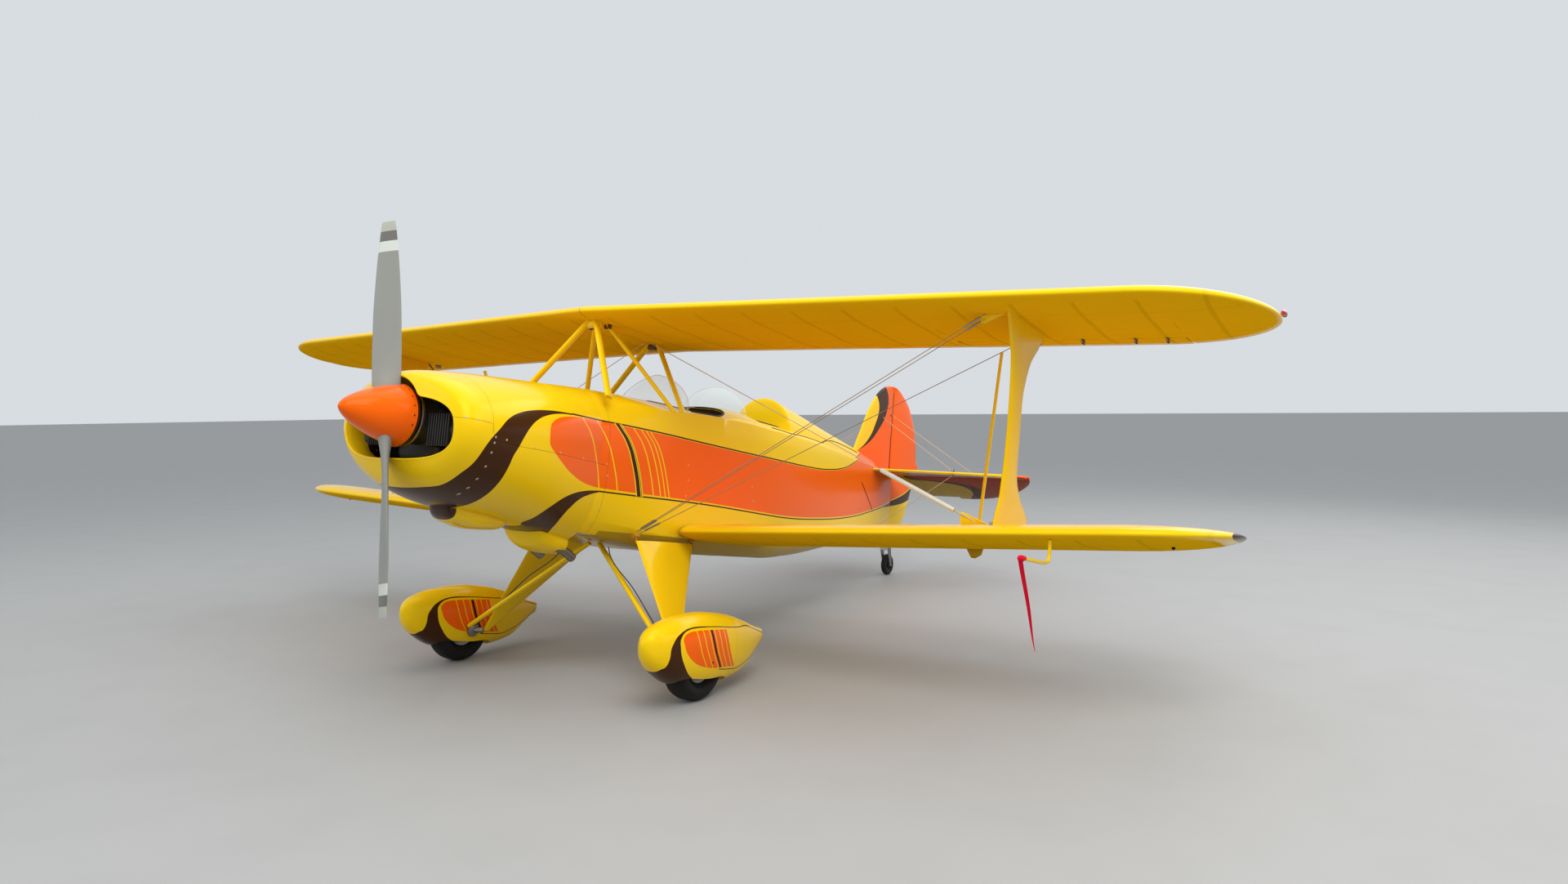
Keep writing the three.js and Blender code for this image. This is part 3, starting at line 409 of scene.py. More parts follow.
def smooth_path(points, count):
    """Points along a rounded line through the given ones."""
    far = np.concatenate([[0], np.cumsum([math.dist(a, b) for a, b in zip(points, points[1:])])])
    at = np.linspace(0, far[-1], count)
    return list(zip(*(monotone(far, [p[i] for p in points], at) for i in range(3))))


def faired(a, b, chord, thick, sides=20):
    """A strut of teardrop section whose chord runs fore and aft, between two points."""
    a, b = Vector(a), Vector(b)
    along = (b - a).normalized()
    aft = Vector((1, 0, 0))
    aft = (aft - along * aft.dot(along)).normalized()
    side = along.cross(aft)
    return skin([[tuple(centre + aft * (c * chord / 2) + side * (d * (0.5 - 0.18 * c) * thick))
                  for c, d in around(sides)] for centre in (a, b)])


def lathe(profile, sides=64, axis="s", centre=(0, 0, 0)):
    """A turned body. profile is (radius, distance along the axis) pairs from end to end."""
    rings = []
    for radius, along in profile:
        ring = []
        for c, d in around(sides):
            spot = [radius * c, radius * d]
            spot.insert("syz".index(axis), along)
            ring.append(tuple(a + b for a, b in zip(centre, spot)))
        rings.append(ring)
    return skin(rings)


def rounded_box(s0, s1, y0, y1, z0, z1, edge):
    """A box with its edges eased, as a stack of rounded oblongs."""
    rings = []
    for level, inset in ((z0, edge), (z0 + edge * 0.3, edge * 0.3), (z0 + edge, 0), (z1 - edge, 0),
                         (z1 - edge * 0.3, edge * 0.3), (z1, edge)):
        ring = []
        for cs, cy, start in ((s1, y1, 0), (s0, y1, 90), (s0, y0, 180), (s1, y0, 270)):
            for k in range(5):
                angle = math.radians(start + 22.5 * k)
                sign_s = 1 if cs == s1 else -1
                sign_y = 1 if cy == y1 else -1
                ring.append((cs - sign_s * (edge + inset) + math.cos(angle) * edge,
                             cy - sign_y * (edge + inset) + math.sin(angle) * edge, level))
        rings.append(ring)
    return skin(rings)


def block(s, y, z, half_s, half_y, half_z, edge):
    """A rounded box around a middle point."""
    return rounded_box(s - half_s, s + half_s, y - half_y, y + half_y, z - half_z, z + half_z, edge)


def wedge(outline, s, half, sign):
    """A flat plate across the hull, of the given (y, z) outline."""
    ring = [(sign * y, z) for y, z in outline]
    middle = (sum(p[0] for p in ring) / len(ring), sum(p[1] for p in ring) / len(ring))
    rings = []
    for back, share in ((-half, 0.9), (-half * 0.6, 1.0), (half * 0.6, 1.0), (half, 0.9)):
        rings.append([(s + back, middle[0] + (y - middle[0]) * share, middle[1] + (z - middle[1]) * share)
                      for y, z in ring])
    return skin(rings)


def cut(piece, points, faces):
    """Takes a closed shape out of a piece, and keeps the result as its mesh."""
    tool = mesh_object("tool", points, faces, piece.data.materials[0])
    change = piece.modifiers.new("cut", "BOOLEAN")
    change.object = tool
    change.operation = "DIFFERENCE"
    change.solver = "EXACT"
    bpy.context.view_layer.update()
    fresh = bpy.data.meshes.new_from_object(piece.evaluated_get(bpy.context.evaluated_depsgraph_get()))
    piece.modifiers.remove(change)
    old = piece.data
    piece.data = fresh
    fresh.name = piece.name
    bpy.data.objects.remove(tool)
    bpy.data.meshes.remove(old)
    build = bmesh.new()
    build.from_mesh(fresh)
    smooth_but_for_edges(build, 40)
    build.to_mesh(fresh)
    build.free()


# Hull: its sections, and the paint as curves through (station, height) or (height, station) points
HULL = table(
    "s width top shoulder hip keel",
    (1150, 361, 325, 285, -480, -570), (1500, 367, 343, 290, -483, -579), (1766, 371, 357, 272, -485, -584),
    (1945, 372, 364, 284, -487, -587), (2300, 375, 380, 298, -490, -590), (2440, 373, 398, 298, -490, -590),
    (2560, 371, 414, 298, -490, -589), (2720, 368, 408, 298, -490, -589), (2860, 365, 386, 298, -490, -588),
    (3000, 362, 385, 298, -490, -588), (3400, 335, 378, 292, -475, -560), (4000, 265, 350, 280, -415, -485),
    (4700, 165, 305, 262, -335, -375), (5200, 95, 272, 250, -270, -295), (5520, 40, 250, 242, -225, -240))
NOSE_BAND_TOP = [(128, -352), (140, -342), (168, -325), (178, -266), (193, -225), (227, -111), (285, -36),
                 (354, 29), (452, 72), (546, 94), (626, 106), (708, 114), (851, 121)]
NOSE_BAND_BOTTOM = [(250, -440), (385, -425), (391, -365), (393, -250), (396, -190), (400, -155), (421, -111),
                    (448, -59), (498, 5), (562, 51), (631, 79), (725, 101), (851, 113)]
CHIN_BAND_FRONT = [(-530, 880), (-489, 850), (-466, 800), (-443, 797), (-405, 802), (-363, 829),
                   (-324, 875), (-297, 940), (-276, 1034), (-263, 1171)]
CHIN_BAND_REAR = [(-560, 1150), (-536, 1060), (-528, 1034), (-507, 994), (-468, 964), (-408, 952),
                  (-361, 975), (-322, 1018), (-295, 1083), (-274, 1171)]
UPPER_LINE = [(851, 121), (1290, 129), (1581, 127), (2072, 117), (2443, 112), (2861, 109), (3356, 108),
              (3658, 114), (3902, 130), (4184, 166), (4445, 236), (4600, 290), (4781, 352)]
FIN_LINE = [(300, 4640), (352, 4781), (495, 5088), (619, 5242), (756, 5363), (850, 5403), (915, 5410),
            (1013, 5358)]
FIN_BAND_FRONT = [(300, 4640), (400, 4890), (538, 5080), (653, 5164), (782, 5224), (850, 5222), (900, 5195),
                  (960, 5150)]
PANEL_TOP = [(640, -30), (646, 20), (659, 43), (717, 77), (771, 92), (847, 104), (933, 112), (1103, 121),
             (1290, 121)]
PANEL_BOTTOM = [(640, -18), (651, -71), (706, -111), (775, -151), (876, -197), (985, -227), (1102, -244),
                (1339, -250), (1779, -253), (2124, -256)]
LOWER_LINE = [(1156, -266), (1485, -267), (2124, -268), (2498, -276), (2919, -287), (3158, -291),
              (3700, -272), (4414, -216), (4942, -138), (5404, -50), (5781, 48), (6003, 140)]
STRIPE_BEND = [(-260, 222), (-243, 215), (-158, 183), (-70, 144), (38, 82), (123, 0), (150, -16)]
THIN_STRIPES = (952, 1105, 1420, 1486, 1530, 1567)
NOSE_BAND_END, CHIN_BAND_END = 851, 1171
PANEL_START, PANEL_FOOT_END, PANEL_TOP_END = 640, 2124, 1290
FIN_PAINT_START, FIN_FOOT = 4700, 352
FIREWALL = 1219
UPPER_LINE_END, FIN_LINE_START = 4781, 4640
# The lower line widens by this share of the way behind its station
STERN_START, STERN_WIDENING = 5300, 0.13


def hull_paint(finish):
    s, z = finish.s, finish.z
    band = z.below(s.curve(NOSE_BAND_TOP)) * z.above(s.curve(NOSE_BAND_BOTTOM)) * s.below(NOSE_BAND_END)
    chin = s.above(z.curve(CHIN_BAND_FRONT)) * s.below(z.curve(CHIN_BAND_REAR)) * z.below(-263)
    finish.paint(band.max(chin * s.below(CHIN_BAND_END + 1)), BROWN)
    top = s.curve(UPPER_LINE)
    behind = s.above(z.curve(FIN_LINE)) * z.above(300) * s.above(FIN_LINE_START - 20)
    lower = s.curve(LOWER_LINE)
    on_side = s.above(PANEL_START + 2) * z.below(
        s.curve(PANEL_TOP) * s.below(PANEL_TOP_END, 4) + (top - 9) * s.above(PANEL_TOP_END, 4))
    under = z.above(
        s.curve(PANEL_BOTTOM) * s.below(PANEL_FOOT_END, 4) + (lower + 13) * s.above(PANEL_FOOT_END, 4))
    tail = behind.max(z.below(top - 9) * z.below(FIN_FOOT)) * under * s.above(FIN_PAINT_START, 4)
    panel = (on_side * under * s.below(FIN_PAINT_START, 4) + tail) * s.above(PANEL_START)
    finish.paint(panel.min(1.0), ORANGE)
    finish.paint(s.above(NOSE_BAND_END) * s.below(UPPER_LINE_END) * z.between(top - 6, top + 3), BROWN)
    fin_band = s.above(z.curve(FIN_BAND_FRONT)) * s.below(z.curve(FIN_LINE)) * s.above(FIN_LINE_START)
    finish.paint(z.above(FIN_FOOT) * fin_band, BROWN)
    stern = (s - STERN_START).max(0.0) * STERN_WIDENING
    finish.paint(s.above(CHIN_BAND_END) * z.between(lower - 5 - stern, lower + 4), BROWN)
    # Painted shade: the hull is darker below its hip line, behind station 1292, where its underside turns
    # away from the light.
    hip = s.curve([(row["s"], row["hip"]) for row in HULL])
    finish.shade(z.below(hip - 2, 2) * s.above(1292, 2), 0.55)
    bend = s - z.curve(STRIPE_BEND)
    for station in THIN_STRIPES:
        finish.paint(panel * bend.between(station - 5, station + 5), YELLOW)
    belt = z.below(top) * z.above(lower - 2)
    for start, end, colour in ((1263, 1327, YELLOW), (1272, 1305, BROWN), (1312, 1317, BROWN)):
        finish.paint(belt * bend.between(start, end), colour)


SCREW_SPOTS = [(100, -8), (150, -12), (215, -9), (266, -78), (265, -106), (264, -153), (268, -220),
               (271, -281), (274, -326), (275, -358), (336, -83), (535, -97), (743, -99), (976, -104),
               (1211, -111), (1222, -174), (1211, -366), (1200, -451), (1947, -38), (1960, -133),
               (1948, -230), (2689, -111), (2712, -203)]


def hull_relief(finish):
    """Seams of the cowling and hull, and the screws that hold them."""
    s, z = finish.s, finish.z
    split = s.curve([(90, -10), (235, -18), (260, -90), (300, -99), (705, -107), (FIREWALL, -119)])
    seam = (z - split).abs().below(2.2, 0.8) * s.below(FIREWALL)
    bowl = (s - 245).abs().below(2.0, 0.8) * z.above(-62)
    firewall = (s - FIREWALL).abs().below(2.2, 0.8) * z.below(240)
    lines = seam.max(bowl).max(firewall)
    finish.shade(lines, 0.3)
    finish.raise_by(lines * -1.0)
    heads = None
    for station, height in SCREW_SPOTS:
        spot = finish.spot(station, height, 5.5, 1.0)
        heads = spot if heads is None else heads.max(spot)
    finish.paint(heads * 0.75, (0.5, 0.44, 0.3))
    finish.raise_by(heads * 0.8)


def hull_material():
    finish = Finish("hull_paint", YELLOW, roughness=0.2, coat=0.1)
    hull_paint(finish)
    hull_relief(finish)
    return finish.done(mottle=0.05, grain=0.015, spread=0.06)


def gloss(name, colour, roughness=0.2):
    return Finish(name, colour, roughness=roughness, coat=0.08).done(mottle=0.06, grain=0.02, spread=0.07)


HULL_PAINT = hull_material()
PLAIN_YELLOW = gloss("yellow_gloss", YELLOW)
STEEL = Finish("dull_steel", (0.32, 0.31, 0.3), roughness=0.38, metallic=1.0).done(0.3, 0.05, 0.2)
BRIGHT = Finish("bright_steel", (0.62, 0.61, 0.6), roughness=0.22, metallic=1.0).done(0.15, 0.03, 0.15)
DARK = Finish("dark_inside", (0.02, 0.019, 0.018), roughness=0.6).done(0.3, 0.1, 0.2)
RUBBER = Finish("rubber", (0.018, 0.017, 0.016), roughness=0.6).done(0.3, 0.3, 0.2)
LEATHER = Finish("leather", (0.03, 0.022, 0.018), roughness=0.5).done(0.4, 0.5, 0.2)
WIRE = Finish("wire", (0.30, 0.21, 0.12), roughness=0.45, metallic=0.3).done(0.2, 0.03, 0.1)
HOSE = Finish("brake_hose", (0.045, 0.043, 0.04), roughness=0.45).done(0.2, 0.05, 0.1)
CREAM_TRIM = Finish("cream_trim", CREAM, roughness=0.35).done(0.15, 0.03, 0.1)
PALE_METAL = Finish("pale_metal", (0.66, 0.65, 0.62), roughness=0.32, metallic=0.25).done(0.1, 0.02, 0.06)
PALE_WIRE = Finish("pale_wire", (0.62, 0.50, 0.32), roughness=0.45, metallic=0.2).done(0.2, 0.03, 0.1)
DULL_YELLOW = gloss("dull_yellow", (0.50, 0.31, 0.01), roughness=0.35)
DARK_BRACKET = gloss("dark_bracket", (0.11, 0.055, 0.01), roughness=0.4)
LUG_PAINT = gloss("lug_paint", (0.42, 0.17, 0.006), roughness=0.35)
LINING_BROWN = Finish("lining_brown", (0.055, 0.028, 0.012), roughness=0.6).done(0.3, 0.3, 0.2)
CAST = Finish("cast_metal", (0.07, 0.07, 0.072), roughness=0.5, metallic=0.7).done(0.4, 0.4, 0.25)


def clear_material():
    finish = Finish("clear_acrylic", (0.72, 0.86, 0.80), roughness=0.04)
    finish.shader.inputs["Alpha"].default_value = 0.13
    return finish.done(mottle=0.02, grain=0.004, spread=0.03)


CLEAR = clear_material()


def joined(rows, low):
    """The rows with the width, top and low line of cowling and hull run on as one smooth body."""
    body = COWL[:-1] + HULL
    at = [row["s"] for row in rows]
    for name, key in (("width", "width"), ("top", "top"), ("low", low)):
        values = [row.get(name, row.get("keel")) for row in body]
        for row, value in zip(rows, monotone([row["s"] for row in body], values, at)):
            row[key] = float(value)
    return rows


# Stations between which the deck turns from round to peaked, and back
PEAK_START, PEAK_END = (1350, 1720), (2250, 2440)
# Stations between which the hull turns from oval to box, its middle line and the powers of its curves
BOX_START, BOX_END = 1150, 1950
HULL_MIDDLE = -60
OVAL_ROUND, HIP_ROUND, HIP_CORNER = 0.74, 1.5, 0.3


def crown(s, across):
    """Share of the deck's rise at a share of its width. It is round, but peaked ahead of the cockpit."""
    peaked = smoothstep(s, *PEAK_START) - smoothstep(s, *PEAK_END)
    return math.sqrt(max(0, 1 - across ** 2)) * (1 - peaked) + (1 - across ** 1.2) * peaked


def hull_ring(row):
    """A section of the hull: an oval at the cowling that turns into a box with a crown."""
    s, w = row["s"], row["width"]
    shoulder, hip, middle = row["shoulder"], row["hip"], HULL_MIDDLE
    half = []
    for i in range(15):
        across = math.sin(i / 14 * math.pi / 2)
        half.append((w * across, shoulder + (row["top"] - shoulder) * crown(s, across)))
    half += [(w, shoulder + (hip - shoulder) * (i / 7)) for i in range(1, 7)]
    corner = HIP_CORNER * w
    for i in range(10):
        angle = i / 9 * math.pi / 2
        c, d = math.cos(angle) ** HIP_ROUND, math.sin(angle) ** HIP_ROUND
        half.append((w - corner + corner * c, hip + (row["keel"] - hip) * d))
    boxy = smoothstep(s, BOX_START, BOX_END)
    ring = []
    for y, z in half:
        reach = (row["top"] - middle) if z > middle else (middle - row["keel"])
        k = math.atan2(abs(math.tan(math.atan2(z - middle, y))) * w / reach, 1) if y > 1e-6 else math.pi / 2
        round_z = middle + math.copysign(reach * math.sin(k) ** OVAL_ROUND, z - middle)
        round_y = w * math.cos(k) ** OVAL_ROUND
        ring.append((s, y * boxy + round_y * (1 - boxy), z * boxy + round_z * (1 - boxy)))
    return ring + [(s, -y, z) for s, y, z in ring[::-1] if y > 1e-6]


def hull_top(s, y):
    shoulder = between(HULL, "s", "shoulder", s)
    row = joined([{"s": s}], "low")[0]
    return shoulder + (row["top"] - shoulder) * crown(s, min(1, abs(y) / row["width"]))


COCKPIT_FLOOR = -424
# Name, first and last station, half width, roundness and lining
COCKPITS = [("front", 1960, 2440, 325, 0.45, LINING_BROWN), ("rear", 2740, 3275, 250, 0.62, DARK)]


def build_hull():
    rings = [hull_ring(row) for row in joined(eased(HULL, "s", 90), "keel")]
    hull = mesh_object("hull", *skin(rings), HULL_PAINT)
    outlines = []
    for name, start, end, half, power, lining in COCKPITS:
        outline = [((start + end) / 2 + s, y) for s, y in oval((end - start) / 2, half, power, power, 96)]
        cut(hull, *skin([[(s, y, z) for s, y in outline] for z in (COCKPIT_FLOOR - 6, 700)]))
        outlines.append((name, outline, lining))
    put(hull, "fuselage")
    for name, outline, lining in outlines:
        path = [(s, y, hull_top(s, y) + 2) for s, y in outline]
        add(f"coaming_{name}", tube(path + path[:2], 5, 10, caps=False), LEATHER, slot="seat_leather")
        rings = [[(s, y * 0.985, COCKPIT_FLOOR) for s, y, _ in path],
                 [(s, y * 0.985, z - 8) for s, y, z in path]]
        add(f"lining_{name}", skin(rings, True, (True, False)), lining)


DECK = table(
    "s width top",
    (3315, 266, 600), (3650, 250, 548), (4010, 220, 492), (4400, 165, 440), (4810, 100, 388), (5150, 50, 330))
DECK_SEAM = [(2910, 350), (3141, 344), (3400, 306), (3731, 250), (4100, 186), (4509, 121), (4700, 96)]
DECK_FOOT = 250


def deck_ring(row, back=0, shrink=0):
    ring = []
    for i in range(33):
        angle = math.pi * i / 32
        ring.append((row["s"] + back, (row["width"] - shrink) * math.cos(angle),
                     DECK_FOOT + (row["top"] - shrink - DECK_FOOT) * math.sin(angle) ** 0.8))
    return ring


def skin_top(s, y):
    """Height of the hull or of the headrest fairing, whichever is on top."""
    width, top = between(DECK, "s", "width", s), between(DECK, "s", "top", s)
    inside = s > DECK[0]["s"] and y < width
    return max(hull_top(s, y), DECK_FOOT + (top - DECK_FOOT) * (1 - (y / width) ** 2) ** 0.4 if inside else 0)


def build_deck():
    stations = np.linspace(DECK_SEAM[0][0], DECK_SEAM[-1][0], 60)
    widths = monotone([p[0] for p in DECK_SEAM], [p[1] for p in DECK_SEAM], stations)
    for side, sign in SIDES:
        path = [(s, sign * y, skin_top(s, y) + 0.5) for s, y in zip(stations, widths)]
        add(f"deck_seam_{side}", tube(path, 3, 8), DARK)
    rows = eased(DECK, "s", 34)
    rings = [deck_ring(rows[0], back, shrink) for back, shrink in ((-9, 26), (-7, 14), (-3, 5))]
    rings += [deck_ring(row) for row in rows]
    add("headrest_fairing", skin(rings), HULL_PAINT, "turtledeck", sharp=60)


# Cowling. Its skin and the edge of its mouth are measured from the point (y 0, z AXIS) at each station
COWL = table(
    "s width top low middle",
    (46, 268, 200, -215, -20), (66, 370, 214, -255, -30), (92, 436, 224, -300, -40),
    (130, 464, 234, -342, -40), (180, 474, 242, -372, -42), (350, 478, 262, -422, -50),
    (650, 460, 285, -458, -60), (900, 415, 303, -500, -60), (1151, 361, 325, -570, -60))
COWL_END = 1151
AXIS = -40
LIP = 14
# Half width, half height, middle and roundness of the openings, and of the ring around the spinner
MOUTH = [(392, 150, -60, 2.9), (187, 187, 0, 2)]


def cowl_radius(row, angles):
    power = 0.74 + 0.3 * max(0, 1 - row["s"] / 900)
    turn = np.linspace(-math.pi, math.pi, 721)
    c, d = np.cos(turn), np.sin(turn)
    reach = np.where(d > 0, row["top"] - row["middle"], row["middle"] - row["low"])
    y = row["width"] * np.sign(c) * np.abs(c) ** power
    z = row["middle"] + reach * np.sign(d) * np.abs(d) ** power - AXIS
    where = np.arctan2(z, y)
    order = np.argsort(where)
    return np.interp(angles, where[order], np.hypot(y, z)[order], period=2 * math.pi)


def mouth_radius(angles):
    reach = np.linspace(1, 520, 1040)
    best = np.zeros(len(angles))
    for width, height, middle, power in MOUTH:
        across = np.abs(np.outer(np.cos(angles), reach) / width) ** power
        upright = np.abs((np.outer(np.sin(angles), reach) + AXIS - middle) / height) ** power
        best = np.maximum(best, np.max(np.where(across + upright <= 1, reach, 0), axis=1))
    return best


def blurred(values, reach):
    return sum(np.roll(values, k) for k in range(-reach, reach + 1)) / (2 * reach + 1)


def build_cowl():
    angles = np.linspace(0, 2 * math.pi, 168, endpoint=False)
    rows = joined(eased(COWL, "s", 160), "low")
    stations = np.array([row["s"] for row in rows])
    radii = np.array([cowl_radius(row, angles) for row in rows])
    mouth = blurred(mouth_radius(angles), 2)
    lips = blurred(np.array([stations[np.nonzero(radii[:, k] >= mouth[k] + LIP)[0][0]]
                             for k in range(len(angles))]), 3)

    def ring(station, radius):
        """station and radius are functions of the number of the angle."""
        spots = []
        for k, angle in enumerate(angles):
            s = station(k)
            r = radius(k, s)
            spots.append((s, r * math.cos(angle), AXIS + r * math.sin(angle)))
        return spots

    rings = [ring(lambda k: lips[k] + (COWL_END - lips[k]) * t ** 1.6,
                  lambda k, s: np.interp(s, stations, radii[:, k])) for t in 1 - np.linspace(0, 1, 30) ** 0.7]
    for back, share in ((-5, 0.8), (-8, 0.5), (-7, 0.2), (-2, 0.0), (30, 0.2), (120, 1.2), (260, 2.2)):
        rings.append(ring(lambda k: lips[k] + back, lambda k, s: mouth[k] + share * LIP))
    add("cowling", skin(rings, True, (False, False)), HULL_PAINT, "cowl_upper", "cowl_lower", sharp=70)
    # A near-black plate behind the cylinders closes the mouth: painted shade for the cowling's inside.
    add("cowl_inside_shade", skin([[(330, y * 0.99, z) for _, y, z in rings[-1]]], True, (True, False)), DARK)


def build_engine():
    parts = []
    for sign in (-1, 1):
        for station in (185, 300):
            parts += [block(station, sign * (150 + k * 17), -60, 52, 3.5, 80, 3) for k in range(9)]
            barrel = [(38, sign * 130), (42, sign * 200), (40, sign * 310)]
            parts.append(lathe(barrel, 20, "y", (station, 0, -60)))
        parts.append(block(242.5, sign * 318, -60, 102.5, 16, 65, 12))
    add("cylinders", merged(parts), CAST, "engine", slot="cast_engine")
    case = [lathe([(60, 84), (78, 100), (92, 150), (130, 200), (150, 330)], 40),
            rounded_box(200, 900, -150, 150, -200, 60, 30)]
    add("crankcase", merged(case), CAST, slot="cast_engine")
    ring = lathe([(60, 94), (148, 94), (150, 98), (150, 108), (146, 110), (60, 108)], 96)
    add("starter_ring", ring, STEEL, slot="bare_steel")


# Propeller and spinner, as (radius, distance aft) of the cone and rows of the blade
SPINNER = [(0.5, -261), (11, -256), (30, -240), (54, -208), (78, -165), (100, -115), (120, -62), (136, -8),
           (148, 38), (155, 62)]
PROPELLER = table(
    "r chord twist thick",
    (60, 124, 46, 0.62), (150, 132, 42, 0.42), (215, 137, 38, 0.28), (300, 141, 34, 0.2),
    (480, 143, 27, 0.15), (680, 130, 21, 0.12), (860, 103, 17, 0.1), (945, 84, 15.5, 0.1), (966, 78, 15, 0.1),
    (971, 72, 15, 0.08))
BLADE_TURN = math.radians(8.15)
SCREWS, SCREW_RING = 20, 153


def spinner_material():
    finish = Finish("spinner_paint", (0.90, 0.125, 0.003), roughness=0.2, coat=0.14)
    finish.paint(finish.s.above(62, 0.6), BROWN)
    return finish.done(mottle=0.06, grain=0.02, spread=0.05)


def blade_material():
    finish = Finish("blade_grey", (0.27, 0.275, 0.25), roughness=0.35)
    for reach, colour in ((814, (0.60, 0.63, 0.56)), (868, (0.16, 0.155, 0.14)), (920, (0.42, 0.43, 0.36))):
        finish.paint(finish.z.abs().above(reach), colour)
    return finish.done(mottle=0.15, grain=0.05, spread=0.12)


def build_propeller():
    turning = dict(body="propeller_body", matrix=LEVEL @ Matrix.Rotation(BLADE_TURN, 4, "X"))
    ahead = np.linspace(-62, 261, 50)
    radii = monotone([-p[1] for p in SPINNER[::-1]], [p[0] for p in SPINNER[::-1]], ahead)
    profile = list(zip(radii[::-1], -ahead[::-1])) + [(156, 64), (156, 76), (148, 78), (30, 78)]
    add("spinner_shell", lathe(profile, 96), spinner_material(), "spinner", slot="orange_paint", **turning)
    screws = []
    for k in range(SCREWS):
        angle = 2 * math.pi * (k + 0.5) / SCREWS
        y, z = SCREW_RING * math.cos(angle), SCREW_RING * math.sin(angle)
        screws.append(tube([(45, y * 0.95, z * 0.95), (44.6, y * 1.004, z * 1.004)], 4.2, 8))
    add("spinner_screws", merged(screws), BRIGHT, slot="bare_steel", **turning)
    parts = []
    for sign in (1, -1):
        rings = []
        for row in eased(PROPELLER, "r", 40):
            turn = math.radians(row["twist"])
            ring = []
            for c, d in around(28):
                run = c * row["chord"] / 2
                rise = d * row["chord"] / 2 * row["thick"] * (1 + 0.35 * c)
                x = run * math.sin(turn) + rise * math.cos(turn)
                y = -run * math.cos(turn) + rise * math.sin(turn)
                ring.append((-x, sign * y, sign * row["r"]))
            rings.append(ring)
        parts.append(skin(rings))
    add("propeller_blades", merged(parts), blade_material(), "propeller", slot="propeller_paint", **turning)


# Wings
UPPER = dict(edge=1255, sweep=math.tan(math.radians(6.17)), height=797, dihedral=0.0,
             incidence=math.tan(math.radians(2)), chord=1070, root=0.0, tip_start=3050, tip=3660,
             cut=(1975, 3190), tip_rise=0, cap=None)
LOWER = dict(edge=1820, sweep=0.0, height=-473, dihedral=math.tan(math.radians(2.84)),
             incidence=math.tan(math.radians(1.5)), chord=1070, root=330, tip_start=2930, tip=3505,
             cut=(1900, 3060), tip_rise=28, cap=3440)
HINGE = 0.77
AILERON_GAP, AILERON_SIDE_GAP = 46, 7
# How far the tip takes back the leading edge and shortens the chord
TIP_RAKE, TIP_TAPER = 560, 1060
# Depth, reach and run of the cut at the root of the lower wing
ROOT_CUT, ROOT_REACH, ROOT_RUN = 90, 155, 110
RIB_SPACING = 295


def wing_material(name, wing):
    """Fabric drawn over ribs, with painted shade underneath as a deeper, darker yellow, and dull underneath.
    """
    finish = Finish(name, YELLOW, roughness=0.24, coat=0.4)
    s, z, out = finish.s, finish.z, finish.y.abs()
    aft = s - (out * wing["sweep"] + wing["edge"])
    chord_line = out * wing["dihedral"] - aft * wing["incidence"] + wing["height"]
    under = (z - chord_line).below(-7, 5)
    # Painted shade: below the chord line the yellow is deeper and darker.
    finish.paint(under, (0.80, 0.45, 0.005))
    for key, weight in (("Coat Weight", 0.1), ("Specular IOR Level", 0.4)):
        finish.link((under * -weight + weight).socket, finish.shader.inputs[key])
    wave = out.mod(RIB_SPACING) - RIB_SPACING / 2
    tape = wave.abs().below(11, 3) * aft.above(70, 20)
    finish.raise_by(tape * 0.8)
    finish.shade(tape * (under * 0.5 + 0.5), 0.16)
    finish.raise_by((wave * (2 * math.pi / RIB_SPACING)).math("COSINE") * -2.6 * aft.above(90, 60))
    spar = (aft - 250).abs().min((aft - 700).abs()).below(9, 5) * under
    finish.shade(spar, 0.06)
    finish.shade(out.below(2.5, 1), 0.6)
    if wing["cap"]:
        finish.paint(out.above(wing["cap"]) * under * aft.below(620, 40), BROWN)
        finish.paint(out.above(wing["cap"] + 30) * aft.below(620, 40), BROWN)
        finish.paint(out.below(386) * (s - wing["edge"]).below(260, 20), BROWN)
    return finish.done(mottle=0.06, grain=0.02, spread=0.07)


def half_thickness(x):
    x = np.clip(x, 0, 1)
    return 0.6 * (0.2969 * np.sqrt(x) - 0.126 * x - 0.3516 * x ** 2 + 0.2843 * x ** 3 - 0.1036 * x ** 4)


def wing_plan(wing, y):
    """Leading edge, chord and height of the leading edge at y."""
    beyond = max(0, (y - wing["tip_start"]) / (wing["tip"] - wing["tip_start"]))
    left = math.sqrt(max(0, 1 - beyond ** 2))
    cutback = ROOT_CUT * max(0, (wing["root"] + ROOT_REACH - y) / ROOT_RUN) ** 2 if wing["root"] else 0
    nose = wing["edge"] + wing["sweep"] * y + TIP_RAKE * (1 - left) + cutback
    chord = wing["chord"] - TIP_TAPER * (1 - left) - cutback
    rise = (wing["tip_rise"] - wing["incidence"] * TIP_RAKE) * (1 - left)
    height = wing["height"] + wing["dihedral"] * y + rise
    return nose, max(chord, 6), height - wing["incidence"] * cutback


def surface(x, side):
    """Height of the upper (side 1) or flatter lower (side -1) surface over the chord line, in chords."""
    share = 1 if side > 0 else -0.68 - 0.32 * smoothstep(x, 0.45, HINGE)
    return float(half_thickness(x)) * share


def hinge_line(wing, y):
    back = HINGE * wing["chord"]
    return (wing["edge"] + wing["sweep"] * y + back,
            wing["height"] + wing["dihedral"] * y - wing["incidence"] * back)


def wing_height(wing, s, y, side):
    nose, chord, height = wing_plan(wing, y)
    x = (s - nose) / chord
    return height - wing["incidence"] * (s - nose) + surface(x, side) * chord


def wing_ring(wing, y, sign, end=None):
    """A rib section, cut off at station end where an aileron follows."""
    nose, chord, height = wing_plan(wing, y)
    limit = 1.0 if end is None else min(1, (end - nose) / chord)
    shares = limit * (1 - np.cos(np.linspace(0, math.pi / 2, 25)[1:]))
    ring = []
    for x, side in [(0, 0)] + [(x, 1) for x in shares] + [(x, -1) for x in shares[::-1]]:
        z = height - wing["incidence"] * x * chord + surface(x, side) * chord
        ring.append((nose + x * chord, sign * y, z))
    return ring


